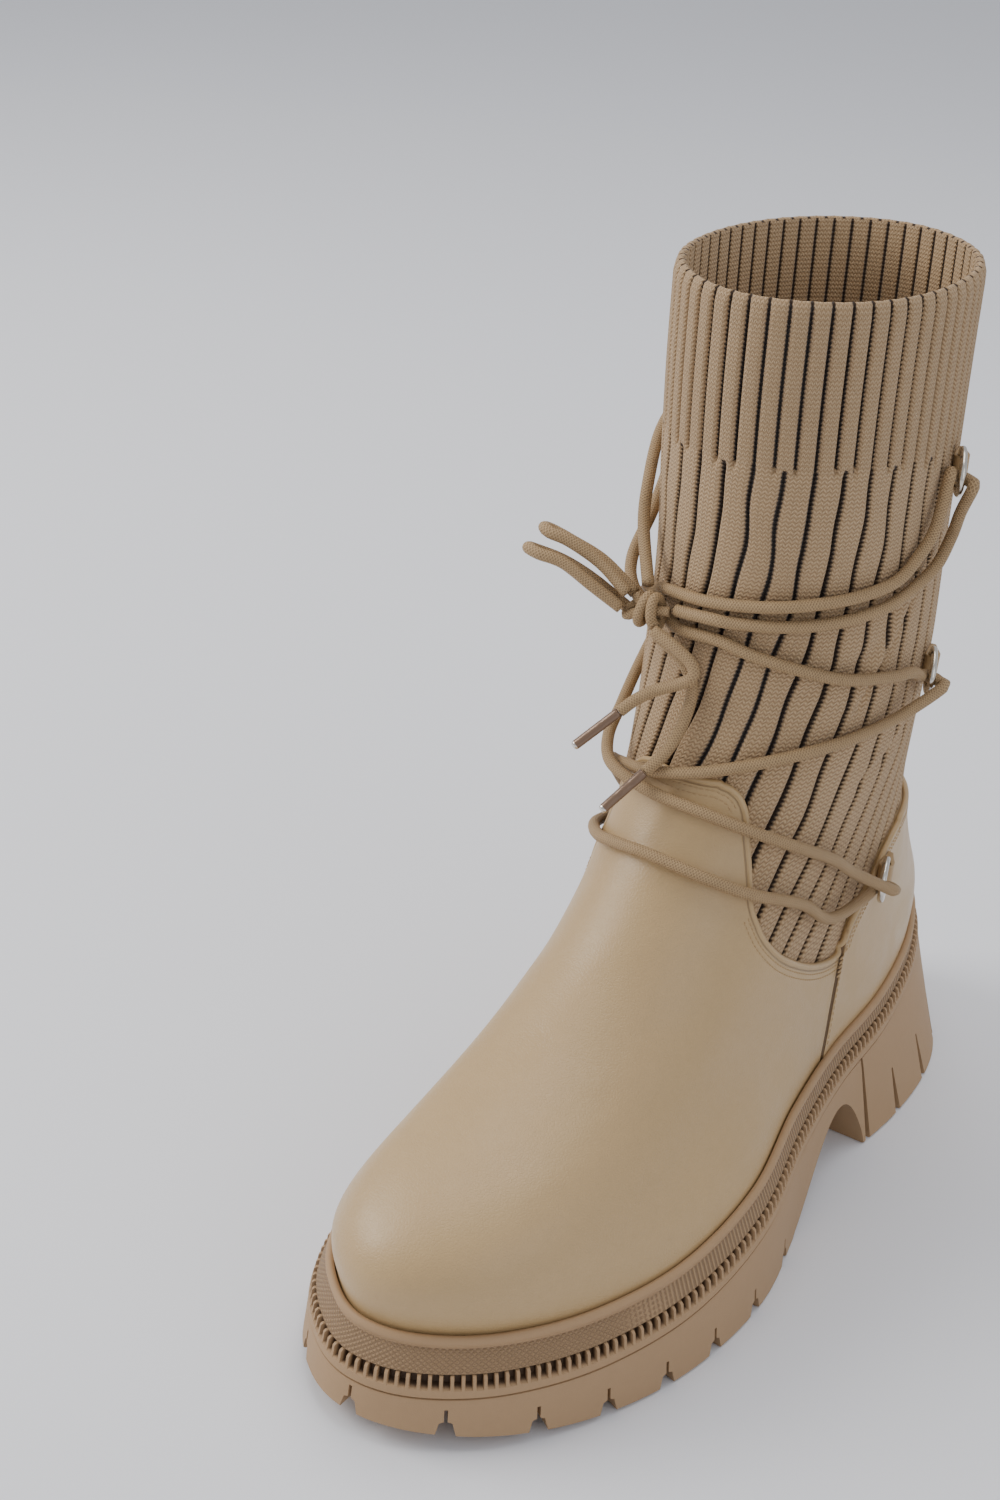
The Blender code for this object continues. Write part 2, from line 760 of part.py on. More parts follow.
carve(shaft, hem_cut)

# D-rings and the folded tabs that hold them, three on each side: run of the tab from
# the middle of the foot as a share of last_len, height as a share of shaft_h
Station = namedtuple("Station", "side run height")
stations = {
    "outer_low": Station(1, 0.210, 0.330),
    "outer_mid": Station(1, 0.237, 0.576),
    "outer_top": Station(1, 0.232, 0.800),
    "inner_low": Station(-1, 0.196, 0.345),
    "inner_mid": Station(-1, 0.222, 0.580),
    "inner_top": Station(-1, 0.222, 0.800),
}
bore = 0.5 * ring_wire + gap
tab_r = bore + tab_t
# Tab in side view round the ring's bar: forward and outward, as shares of tab_len and tab_r
tab_outer = [
    (0.0, 1.0, 0.0), (0.0, 0.87, 0.5), (0.0, 0.5, 0.87), (0.0, 0.0, 1.0), (-0.12, -0.30, 0.86),
    (-0.42, -0.35, 0.18), (-0.70, -0.35, -0.35), (-0.70, -0.35, -1.0), (-0.35, 0.0, -1.0),
    (0.0, 0.0, -1.0), (0.0, 0.58, -0.86), (0.0, 0.9, -0.46),
]
# D-ring in its own plane: forward as shares of ring_depth, up as shares of ring_h
RingRow = namedtuple("RingRow", "ahead up")
ring_rows = [
    RingRow(0.00, 0.00), RingRow(0.00, 0.34), RingRow(0.07, 0.41), RingRow(0.30, 0.425),
    RingRow(0.62, 0.36), RingRow(0.88, 0.21), RingRow(1.00, 0.00), RingRow(0.88, -0.21),
    RingRow(0.62, -0.36), RingRow(0.30, -0.425), RingRow(0.07, -0.41), RingRow(0.00, -0.34),
]
lean = math.radians(ring_tilt)
frames = {}
for name, spot in stations.items():
    turn = beside(spot.side, spot.run * last_len, spot.height * shaft_h)
    base = counter_step if name.endswith("low") else knit_out
    foot, out, level = at_height(turn, spot.height * shaft_h, base)
    up = (Vector((0, 0, 1)) - out * out.z).normalized()
    ahead = out.cross(up).normalized()
    if ahead.y > 0:
        ahead = -ahead
    bar = foot + out * (gap + tab_r)
    tilted = ahead * math.cos(lean) + out * math.sin(lean)
    face = out * math.cos(lean) - ahead * math.sin(lean)
    frames[name] = (bar, ahead, out, up, tilted, face)

    verts = []
    faces = []
    sides = 5
    for i, row in enumerate(ring_rows):
        centre = bar + tilted * row.ahead * ring_depth + up * row.up * ring_h
        before = ring_rows[i - 1]
        after = ring_rows[(i + 1) % len(ring_rows)]
        along = (tilted * (after.ahead - before.ahead) * ring_depth
                 + up * (after.up - before.up) * ring_h).normalized()
        aside = along.cross(face).normalized()
        for k in range(sides):
            angle = 2 * math.pi * k / sides
            verts.append(centre + (aside * math.cos(angle) + face * math.sin(angle))
                         * 0.5 * ring_wire)
    for i in range(len(ring_rows)):
        faces += loop_faces(i * sides, (i + 1) % len(ring_rows) * sides, sides)
    add("ring_" + name, verts, faces, ring_steel, 60.0)

    verts = []
    for end in (-0.5, 0.5):
        for back, wide, high in tab_outer:
            verts.append(bar + up * end * tab_wid + ahead * (back * tab_len + wide * tab_r)
                         + out * high * tab_r)
        for k in range(12):
            angle = math.radians(30 * k)
            verts.append(bar + up * end * tab_wid
                         + (ahead * math.cos(angle) + out * math.sin(angle)) * bore)
    faces = loop_faces(0, 24, 12)
    faces += loop_faces(36, 12, 12)
    faces += loop_faces(12, 0, 12)
    faces += loop_faces(24, 36, 12)
    add("tab_" + name, verts, faces, tan_leather, 40.0)

# Lace from the knot through all six rings and back to the knot.  Each pass gives the
# turn in degrees, the height as a share of shaft_h and the centre's distance from the
# leather's face as a share of lace_d.
Pass = namedtuple("Pass", "turn height lift")
knot_turn = -22.0
knot_share = 0.664
knot_lift = 6.6 * mm
knot_spot, knot_out, knot_level = at_height(math.radians(knot_turn), knot_share * shaft_h,
                                            knot_lift)
right_of_knot = [
    Pass(2, 0.676, 0.75), Pass(10, 0.675, 0.45), Pass(27, 0.676, 0.30), Pass(44, 0.679, 0.30),
    Pass(58, 0.684, 0.35), Pass(71, 0.691, 0.40), Pass(88, 0.709, 0.60), Pass(97, 0.735, 0.80),
    Pass(97, 0.765, 1.30),
]
cross_top = [
    Pass(86, 0.757, 0.55), Pass(80, 0.731, 0.25), Pass(69, 0.712, 0.28), Pass(53, 0.7045, 0.24),
    Pass(37, 0.700, 0.24), Pass(21, 0.6955, 0.24), Pass(-1, 0.690, 0.24), Pass(-26, 0.680, 0.24),
    Pass(-44, 0.656, 0.24), Pass(-62, 0.628, 0.28), Pass(-80, 0.602, 0.4),
]
cross_low_a = [
    Pass(-84, 0.564, 0.6), Pass(-66, 0.540, 0.35), Pass(-52, 0.520, 0.80), Pass(-40, 0.500, 1.75),
    Pass(-28, 0.487, 1.90), Pass(-8, 0.4845, 1.10), Pass(14, 0.480, 0.85), Pass(35, 0.464, 0.70),
    Pass(57, 0.439, 0.66), Pass(77, 0.408, 0.70), Pass(93, 0.374, 1.0),
]
bar_low = [
    Pass(92, 0.334, 0.75), Pass(71, 0.3745, 0.66), Pass(46, 0.403, 0.66), Pass(25, 0.422, 0.82),
    Pass(2, 0.4325, 0.95), Pass(-17, 0.4285, 0.88), Pass(-34, 0.418, 0.74),
    Pass(-56, 0.402, 0.66), Pass(-80, 0.378, 0.70),
]
cross_low_b = [
    Pass(-84, 0.394, 0.8), Pass(-66, 0.437, 0.66), Pass(-50, 0.468, 0.70), Pass(-36, 0.484, 0.78),
    Pass(-16, 0.499, 0.96), Pass(-4, 0.507, 1.00), Pass(9, 0.5165, 0.62),
    Pass(26, 0.529, 0.26), Pass(44, 0.540, 0.26), Pass(62, 0.546, 0.26), Pass(82, 0.550, 0.50),
]
cross_mid = [
    Pass(85, 0.597, 0.5), Pass(73, 0.6035, 0.28), Pass(53, 0.6155, 0.24), Pass(35, 0.631, 0.24),
    Pass(19, 0.643, 0.24), Pass(5, 0.6525, 0.24), Pass(-12, 0.650, 0.24), Pass(-26, 0.654, 0.30),
    Pass(-38, 0.664, 1.50), Pass(-50, 0.684, 1.50), Pass(-66, 0.722, 0.40), Pass(-82, 0.762, 0.55),
]
left_of_knot = [
    Pass(-86, 0.815, 0.75), Pass(-70, 0.800, 0.40), Pass(-54, 0.765, 0.50), Pass(-44, 0.730, 0.9),
]


def route(passes):
    points = []
    for row in passes:
        spot, out, level = at_height(math.radians(row.turn), row.height * shaft_h,
                                     row.lift * lace_d)
        points.append(spot)
    return points


def turn_round(name, drop, outside_first):
    # Half turn of the lace round the front of a ring; drop parts the two strands.
    bar, ahead, out, up, tilted, face = frames[name]
    apex = bar + tilted * ring_depth
    reach = 0.5 * ring_wire + 0.5 * lace_d + 2 * gap
    points = []
    for angle in (80, 125, 180, 235, 280):
        a = math.radians(angle)
        aside = up * drop * (angle - 180) / 100
        points.append(apex + (tilted * math.cos(a) + face * math.sin(a)) * reach + aside)
    return points if outside_first else list(reversed(points))


knot_right = knot_spot + Vector((7.2, 1.8, 1.3)) * mm
knot_left = knot_spot + Vector((-2.0, 2.5, 5.6)) * mm
lace_route = (
    [knot_right] + route(right_of_knot) + turn_round("outer_top", 1.2 * mm, True)
    + route(cross_top) + turn_round("inner_mid", -1.2 * mm, True)
    + route(cross_low_a) + turn_round("outer_low", -1.2 * mm, True)
    + route(bar_low) + turn_round("inner_low", 1.2 * mm, True)
    + route(cross_low_b) + turn_round("outer_mid", 1.2 * mm, True)
    + route(cross_mid) + turn_round("inner_top", 1.2 * mm, True)
    + route(left_of_knot) + [knot_left]
)
lace_path = smooth_path(lace_route, 2.8 * lace_d)
lace = cord("lace", lace_path, lace_d, tan_lace)

# Knot, two bow loops and two ends with aglets, placed from the knot's middle
knot_size = Vector((6.0, 4.2, 5.2)) * mm
verts = []
faces = []
for i in range(1, 6):
    for k in range(12):
        lat = math.pi * i / 6
        lon = 2 * math.pi * k / 12
        verts.append(knot_spot + Vector((
            knot_size.x * math.sin(lat) * math.cos(lon),
            knot_size.y * math.sin(lat) * math.sin(lon),
            knot_size.z * math.cos(lat),
        )))
for i in range(4):
    faces += loop_faces(i * 12, (i + 1) * 12, 12)
verts.append(knot_spot + Vector((0, 0, knot_size.z)))
verts.append(knot_spot - Vector((0, 0, knot_size.z)))
for k in range(12):
    faces.append(((k + 1) % 12, k, 60))
    faces.append((48 + k, 48 + (k + 1) % 12, 61))
knot = add("knot", verts, faces, tan_lace, 80.0)


def from_knot(name, offsets, diameter, look, spacing):
    points = [knot_spot + Vector(p) * mm for p in offsets]
    path = smooth_path(points, spacing)
    cord(name, path, diameter, look)
    return path


loop_low = from_knot("loop_low", [
    (-6.6, -2.3, -0.5), (-13.5, -5.6, 4.6), (-21.0, -8.0, 9.4), (-27.0, -10.4, 11.0),
    (-30.6, -9.6, 11.4), (-29.6, -6.6, 10.0), (-23.0, -4.2, 8.2), (-15.5, -1.6, 4.4),
    (-6.4, 1.7, -2.0),
], lace_d, tan_lace, 2.2 * lace_d)
loop_high = from_knot("loop_high", [
    (-5.7, -1.2, 3.3), (-13.6, -1.6, 9.2), (-21.5, -4.6, 14.0), (-26.4, -6.4, 15.6),
    (-29.0, -5.2, 16.0), (-28.0, -2.4, 14.6), (-23.2, -0.8, 12.6), (-15.4, 2.4, 8.4),
    (-5.6, 2.6, 2.2),
], lace_d, tan_lace, 2.2 * lace_d)
end_short = from_knot("end_short", [
    (4.0, -3.5, -3.3), (10.6, -3.4, -6.0), (15.6, -3.0, -9.4), (16.2, -3.6, -12.6),
    (12.2, -4.0, -15.6), (7.2, -5.4, -18.2), (3.4, -8.0, -21.0), (0.6, -10.8, -24.2),
], lace_d, tan_lace, 2.2 * lace_d)
end_long = from_knot("end_long", [
    (2.8, 0.2, -6.0), (9.4, 1.2, -10.4), (13.8, 0.2, -14.6), (15.0, -0.6, -20.0),
    (14.4, -3.4, -27.4), (12.8, -7.6, -33.4), (10.2, -12.2, -37.6),
], lace_d, tan_lace, 2.2 * lace_d)


def aglet(name, path):
    ahead = (path[-1] - path[-2]).normalized()
    start = path[-1] + ahead * gap
    cord(name, [start, start + ahead * 0.5 * aglet_len, start + ahead * aglet_len], aglet_d,
         aglet_brown)


aglet("aglet_short", end_short)
aglet("aglet_long", end_long)

# The origin goes to the middle of the boot's footprint, leaving out the lace's free parts
free = ("knot", "loop_low", "loop_high", "end_short", "end_long", "aglet_short", "aglet_long")
bpy.context.view_layer.update()
deps = bpy.context.evaluated_depsgraph_get()
low = np.full(3, 1e9)
high = np.full(3, -1e9)
for thing in list(boot.children):
    if thing.name in free or thing.hide_render:
        continue
    solid = thing.evaluated_get(deps)
    mesh = solid.to_mesh()
    spots = np.array([v.co for v in mesh.vertices])
    low = np.minimum(low, spots.min(0))
    high = np.maximum(high, spots.max(0))
    solid.to_mesh_clear()
boot.location = (-0.5 * (low[0] + high[0]), -0.5 * (low[1] + high[1]), 0.0)
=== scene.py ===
import math
import bmesh
import bpy
import numpy as np
from mathutils import Matrix, Vector
from mathutils.bvhtree import BVHTree


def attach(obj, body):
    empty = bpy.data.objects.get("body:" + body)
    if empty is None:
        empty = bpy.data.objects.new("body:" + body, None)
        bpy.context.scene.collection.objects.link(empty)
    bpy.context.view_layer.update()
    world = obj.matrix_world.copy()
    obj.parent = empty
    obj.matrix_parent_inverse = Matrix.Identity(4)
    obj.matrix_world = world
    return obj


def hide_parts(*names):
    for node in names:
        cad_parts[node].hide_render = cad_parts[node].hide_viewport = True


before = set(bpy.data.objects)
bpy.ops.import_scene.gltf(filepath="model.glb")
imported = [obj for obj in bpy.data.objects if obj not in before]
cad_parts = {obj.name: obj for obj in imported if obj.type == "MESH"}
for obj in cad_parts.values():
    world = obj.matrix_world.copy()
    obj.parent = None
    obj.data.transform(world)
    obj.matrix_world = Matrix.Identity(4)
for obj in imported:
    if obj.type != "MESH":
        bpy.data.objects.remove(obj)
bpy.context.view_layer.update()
bpy.ops.object.select_all(action="DESELECT")
mm = 0.001

# The camera stands in front of the boot, to its outer side and above it
view = {"place": (0.23812, -0.46173, 0.39050), "lens": 54.26}
lens = bpy.data.cameras.new("camera")
lens.lens = view["lens"]
lens.sensor_width = 36.0
camera = bpy.data.objects.new("camera", lens)
bpy.context.scene.collection.objects.link(camera)
shift = Vector((-0.004358, -0.00132, 0.0))       # from the maker's own zero to the boot's middle
look = Matrix(((0.8230073, -0.2978864, 0.4836555), (0.5653284, 0.3465918, -0.7485171),
               (0.0553420, 0.8894593, 0.4536513)))
camera.matrix_world = Matrix.Translation(Vector(view["place"]) + shift) @ look.to_4x4()
bpy.context.scene.camera = camera

# The last and the sole's plan, as shares of a few lengths
last = {
    "long": 0.255, "ball": 0.0844, "ankle": 0.0718, "tall": 0.250,
    "toeSeat": 0.0294, "heelSeat": 0.045, "seamRun": 0.1515, "seamLean": 0.30, "seamTop": 0.090,
    "leather": 0.0016, "knit": 0.0022, "gap": 0.0003, "step": 0.0006,
}
soleRows = np.array([
    (-0.051, -0.051, 0.000), (0.113, -0.186, -0.006), (0.281, -0.326, -0.025),
    (0.423, -0.412, -0.030), (0.519, -0.432, 0.058), (0.537, -0.380, 0.300),
    (0.460, -0.296, 0.500), (0.398, -0.268, 0.480), (0.380, -0.288, 0.550),
    (0.328, -0.300, 0.730), (0.236, -0.228, 0.900), (0.120, -0.120, 0.985), (0.0, 0.0, 1.0),
])                                               # outer edge, inner edge, seat
levelNames = ("frontY", "frontZ", "backY", "backZ", "nose", "rear", "outer", "inner", "free")
levelRows = np.array([
    (-0.5000, 0.1176, 0.5000, 0.1800, 0.334, 0.230, 0.501, 0.440, 0.00),
    (-0.5070, 0.1450, 0.4980, 0.2060, 0.330, 0.235, 0.492, 0.404, 0.24),
    (-0.5035, 0.1710, 0.4830, 0.2320, 0.300, 0.240, 0.484, 0.366, 0.54),
    (-0.4840, 0.1970, 0.4620, 0.2600, 0.245, 0.245, 0.478, 0.349, 0.80),
    (-0.4440, 0.2210, 0.4420, 0.2880, 0.190, 0.250, 0.476, 0.350, 0.95),
    (-0.3840, 0.2440, 0.4240, 0.3180, 0.155, 0.255, 0.480, 0.362, 1.00),
    (-0.3110, 0.2690, 0.4100, 0.3500, 0.140, 0.260, 0.488, 0.386, 1.00),
    (-0.2370, 0.3010, 0.4000, 0.3840, 0.142, 0.266, 0.502, 0.418, 1.00),
    (-0.1640, 0.3450, 0.3930, 0.4200, 0.158, 0.274, 0.522, 0.462, 1.00),
    (-0.1030, 0.4010, 0.3880, 0.4560, 0.198, 0.284, 0.546, 0.504, 1.00),
    (-0.0520, 0.4690, 0.3840, 0.4950, 0.262, 0.299, 0.576, 0.560, 1.00),
    (-0.0210, 0.5420, 0.3810, 0.5440, 0.325, 0.320, 0.600, 0.597, 1.00),
    (-0.0080, 0.6080, 0.3780, 0.6040, 0.355, 0.341, 0.610, 0.610, 1.00),
    (-0.0040, 0.7000, 0.3750, 0.7000, 0.355, 0.341, 0.610, 0.610, 1.00),
    (-0.0120, 0.8000, 0.3720, 0.8000, 0.355, 0.341, 0.612, 0.632, 1.00),
    (-0.0180, 0.9000, 0.3700, 0.9000, 0.355, 0.341, 0.616, 0.645, 1.00),
    (-0.0200, 1.0000, 0.3700, 1.0000, 0.355, 0.341, 0.620, 0.650, 1.00),
])
topLevel = len(levelRows) - 1.0


def along(column, place):
    # smooth curve through evenly spaced values
    end = len(column) - 1
    place = np.clip(place, 0.0, end)
    i = np.minimum(place.astype(int), end - 1)
    f = place - i
    b = column[i]
    c = column[i + 1]
    a = np.where(i > 0, column[np.maximum(i - 1, 0)], 2 * b - c)
    d = np.where(i + 2 <= end, column[np.minimum(i + 2, end)], 2 * c - b)
    return 0.5 * (2 * b + (c - a) * f + (2 * a - 5 * b + 4 * c - d) * f * f
                  + (3 * b - a - 3 * c + d) * f ** 3)


def solePlace(turn):
    return np.abs(turn) / math.pi * (len(soleRows) - 1)


def solePlan(turn):
    x = np.where(turn >= 0, along(soleRows[:, 0], solePlace(turn)),
                 along(soleRows[:, 1], solePlace(turn))) * last["ball"]
    return np.stack([x, -0.5 * last["long"] * np.cos(turn)], -1)


def seatHeight(turn):
    rise = last["heelSeat"] - last["toeSeat"]
    return last["toeSeat"] + rise * along(soleRows[:, 2], solePlace(turn))


def toeShare(turn):
    return 0.5 * (1 + np.cos(turn))


def soleEdge(turn, out, z):
    # point of the sole's edge, moved outwards square to the edge
    turn, out, z = np.broadcast_arrays(np.asarray(turn, float), out, z)
    ahead = np.where(turn < math.pi, np.minimum(turn + 0.02, math.pi), -math.pi + 0.02)
    way = solePlan(ahead) - solePlan(np.maximum(turn - 0.02, -math.pi))
    way /= np.linalg.norm(way, axis=-1, keepdims=True)
    flat = solePlan(turn)
    return np.stack([flat[..., 0] + way[..., 1] * out + shift.x,
                     flat[..., 1] - way[..., 0] * out + shift.y, z], -1)


def wallPoint(level, turn):
    level, turn = np.broadcast_arrays(np.asarray(level, float), np.asarray(turn, float))
    turn = np.where(np.abs(turn) > math.pi, turn - np.copysign(2 * math.pi, turn), turn)
    row = {name: along(levelRows[:, i], level) for i, name in enumerate(levelNames)}
    share = 0.5 * (1 - np.cos(turn))
    run = (row["backY"] - row["frontY"]) * last["long"]
    y = row["frontY"] * last["long"] + run * share
    reach = np.where(turn >= 0, row["outer"], row["inner"]) * last["ankle"]
    nose = np.sqrt(2 * row["nose"] * last["ankle"] * run * share)
    rear = np.sqrt(np.maximum(2 * row["rear"] * last["ankle"] * run * (1 - share), 0.0))
    ends = np.minimum(nose, rear) < 1e-7
    width = (np.maximum(nose, 1e-7) ** -4 + reach ** -4 + np.maximum(rear, 1e-7) ** -4) ** -0.25
    width = np.where(ends, 0.0, width)
    tip = soleRows[0, 0] * last["ball"] * (1 - share) ** 2
    bend = (1 - np.clip(level / 8.0, 0.0, 1.0)) ** 2
    flat = solePlan(turn)[..., 0]
    x = (1 - row["free"]) * flat + row["free"] * (tip * bend + np.where(turn >= 0, width, -width))
    z = (row["frontZ"] + (row["backZ"] - row["frontZ"]) * share) * last["tall"]
    seat = last["toeSeat"] + (last["heelSeat"] - last["toeSeat"]) * share
    z = z + (1 - row["free"]) * (seatHeight(turn) - seat)
    return np.stack([x + shift.x, y + shift.y, z], -1)


def wallNormal(level, turn):
    level, turn = np.broadcast_arrays(np.asarray(level, float), np.asarray(turn, float))
    across = wallPoint(level, turn + 0.02) - wallPoint(level, turn - 0.02)
    up = wallPoint(np.minimum(level + 0.05, topLevel), turn) - wallPoint(np.maximum(level - 0.05, 0), turn)
    out = np.cross(across, up)
    return out / np.linalg.norm(out, axis=-1, keepdims=True)


def onWall(level, turn, out):
    return wallPoint(level, turn) + wallNormal(level, turn) * np.asarray(out)[..., None]


def levelAt(turn, height):
    turn, height = np.broadcast_arrays(np.asarray(turn, float), np.asarray(height, float))
    low = np.zeros(turn.shape)
    high = np.full(turn.shape, topLevel)
    for _ in range(28):
        middle = 0.5 * (low + high)
        under = wallPoint(middle, turn)[..., 2] < height
        low = np.where(under, middle, low)
        high = np.where(under, high, middle)
    return 0.5 * (low + high)


def seamLine(height):
    return (-0.5 * last["long"] + last["seamRun"] + shift.y
            + last["seamLean"] * (np.minimum(height, last["seamTop"]) - last["toeSeat"]))


seamTurn = math.pi * 12 / 22


def leanTurn(level, base):
    # turn of a column, leaned so that the column at seamTurn follows the side seam
    level = np.asarray(level, float)
    front = along(levelRows[:, 0], level) * last["long"] + shift.y
    back = along(levelRows[:, 2], level) * last["long"] + shift.y
    height = 0.5 * (along(levelRows[:, 1], level) + along(levelRows[:, 3], level)) * last["tall"]
    share = np.clip((seamLine(height) - front) / (back - front), 0.2, 0.8)
    pull = (np.arccos(1 - 2 * share) - seamTurn) / math.sin(seamTurn)
    return base + pull * np.sin(base)


def smoothLine(points, spacing, closed=False):
    # points about spacing apart on a smooth curve through the given ones
    pts = [Vector(p) for p in points]
    path = []
    for i in range(len(pts) if closed else len(pts) - 1):
        b = pts[i]
        c = pts[(i + 1) % len(pts)]
        a = pts[i - 1] if closed or i > 0 else 2 * b - c
        d = pts[(i + 2) % len(pts)] if closed or i + 2 < len(pts) else 2 * c - b
        steps = max(1, round((c - b).length / spacing))
        for s in range(steps):
            f = s / steps
            path.append(0.5 * (2 * b + (c - a) * f + (2 * a - 5 * b + 4 * c - d) * f * f
                               + (3 * b - a - 3 * c + d) * f ** 3))
    if not closed:
        path.append(pts[-1])
    return np.array(path)


# ---- materials -------------------------------------------------------------------------


def addNode(tree, kind, **values):
    made = tree.nodes.new(kind)
    for name, value in values.items():
        if name in made.inputs:
            made.inputs[name].default_value = value
        else:
            setattr(made, name, value)
    return made


def sums(tree, how, first, second=None, third=None):
    # one Math node fed with sockets or numbers
    made = tree.nodes.new("ShaderNodeMath")
    made.operation = how
    for socket, value in zip(made.inputs, (first, second, third)):
        if value is None:
            continue
        if isinstance(value, (int, float)):
            socket.default_value = value
        else:
            tree.links.new(value, socket)
    return made.outputs[0]


def mixColour(tree, share, first, second, how="MIX"):
    made = tree.nodes.new("ShaderNodeMix")
    made.data_type = "RGBA"
    made.blend_type = how
    for socket, value in zip((made.inputs[0], made.inputs[6], made.inputs[7]), (share, first, second)):
        if isinstance(value, (int, float)):
            socket.default_value = value
        elif isinstance(value, tuple):
            socket.default_value = (*value, 1.0)
        else:
            tree.links.new(value, socket)
    return made.outputs[2]


def ramp(tree, value, low, high, start=0.0, end=1.0):
    made = tree.nodes.new("ShaderNodeMapRange")
    made.interpolation_type = "SMOOTHSTEP"
    for name, number in (("From Min", low), ("From Max", high), ("To Min", start), ("To Max", end)):
        made.inputs[name].default_value = number
    tree.links.new(value, made.inputs["Value"])
    return made.outputs["Result"]


def newGroup(name, inputs, outputs):
    tree = bpy.data.node_groups.new(name, "ShaderNodeTree")
    for label, kind, value in inputs:
        made = tree.interface.new_socket(name=label, in_out="INPUT", socket_type=kind)
        made.default_value = value
    for label, kind in outputs:
        tree.interface.new_socket(name=label, in_out="OUTPUT", socket_type=kind)
    return tree, tree.nodes.new("NodeGroupInput"), tree.nodes.new("NodeGroupOutput")


def makeTone():
    # soft patches of lighter and darker colour, in the object's own space
    tree, given, out = newGroup("toneShift", [
        ("Color", "NodeSocketColor", (1, 1, 1, 1)), ("Scale", "NodeSocketFloat", 20.0),
        ("Amount", "NodeSocketFloat", 0.1)], [("Color", "NodeSocketColor")])
    place = addNode(tree, "ShaderNodeTexCoord")
    noise = addNode(tree, "ShaderNodeTexNoise", Detail=4.0, Roughness=0.6)
    tree.links.new(place.outputs["Object"], noise.inputs["Vector"])
    tree.links.new(given.outputs["Scale"], noise.inputs["Scale"])
    swing = sums(tree, "MULTIPLY", sums(tree, "SUBTRACT", noise.outputs[0], 0.5), given.outputs["Amount"])
    bright = sums(tree, "ADD", swing, 1.0)
    tint = addNode(tree, "ShaderNodeHueSaturation")
    tree.links.new(given.outputs["Color"], tint.inputs["Color"])
    tree.links.new(bright, tint.inputs["Value"])
    tree.links.new(tint.outputs[0], out.inputs["Color"])
    return tree


def makeGrain():
    # pebbled pores with finer noise between them
    tree, given, out = newGroup("poreGrain", [
        ("Scale", "NodeSocketFloat", 900.0), ("Fine", "NodeSocketFloat", 0.4)],
        [("Height", "NodeSocketFloat")])
    place = addNode(tree, "ShaderNodeTexCoord")
    cells = addNode(tree, "ShaderNodeTexVoronoi", feature="DISTANCE_TO_EDGE")
    noise = addNode(tree, "ShaderNodeTexNoise", Detail=3.0)
    for texture in (cells, noise):
        tree.links.new(place.outputs["Object"], texture.inputs["Vector"])
        tree.links.new(given.outputs["Scale"], texture.inputs["Scale"])
    pore = ramp(tree, cells.outputs["Distance"], 0.0, 0.25)
    rough = sums(tree, "MULTIPLY", noise.outputs[0], given.outputs["Fine"])
    tree.links.new(sums(tree, "ADD", pore, rough), out.inputs["Height"])
    return tree


toneShift = makeTone()
poreGrain = makeGrain()


def newFinish(name, colour, rough, metal=0.0):
    made = bpy.data.materials.new(name)
    made.use_nodes = True
    tree = made.node_tree
    shader = tree.nodes["Principled BSDF"]
    shader.inputs["Base Color"].default_value = (*colour, 1.0)
    shader.inputs["Roughness"].default_value = rough
    shader.inputs["Metallic"].default_value = metal
    return made, tree, shader


def useGroup(tree, group, **values):
    made = tree.nodes.new("ShaderNodeGroup")
    made.node_tree = group
    for name, value in values.items():
        made.inputs[name].default_value = value
    return made


def toned(tree, colour, scale, amount):
    made = useGroup(tree, toneShift, Scale=scale, Amount=amount)
    if isinstance(colour, tuple):
        made.inputs["Color"].default_value = (*colour, 1.0)
    else:
        tree.links.new(colour, made.inputs["Color"])
    return made.outputs["Color"]


def bump(tree, shader, height, depth, strength=1.0, under=None):
    made = addNode(tree, "ShaderNodeBump", Strength=strength, Distance=depth)
    tree.links.new(height, made.inputs["Height"])
    if under:
        tree.links.new(under, made.inputs["Normal"])
    tree.links.new(made.outputs["Normal"], shader.inputs["Normal"])
    return made.outputs["Normal"]


def uvSplit(tree, name):
    made = addNode(tree, "ShaderNodeUVMap", uv_map=name)
    parts = tree.nodes.new("ShaderNodeSeparateXYZ")
    tree.links.new(made.outputs[0], parts.inputs[0])
    return parts.outputs[0], parts.outputs[1]


# shade is the colour of the painted shade in the seam groove and beside the edge roll
leatherLook = {"colour": (0.475, 0.318, 0.150), "shade": (0.150, 0.085, 0.036), "rough": 0.40,
               "grain": 1100.0, "pull": 60.0}


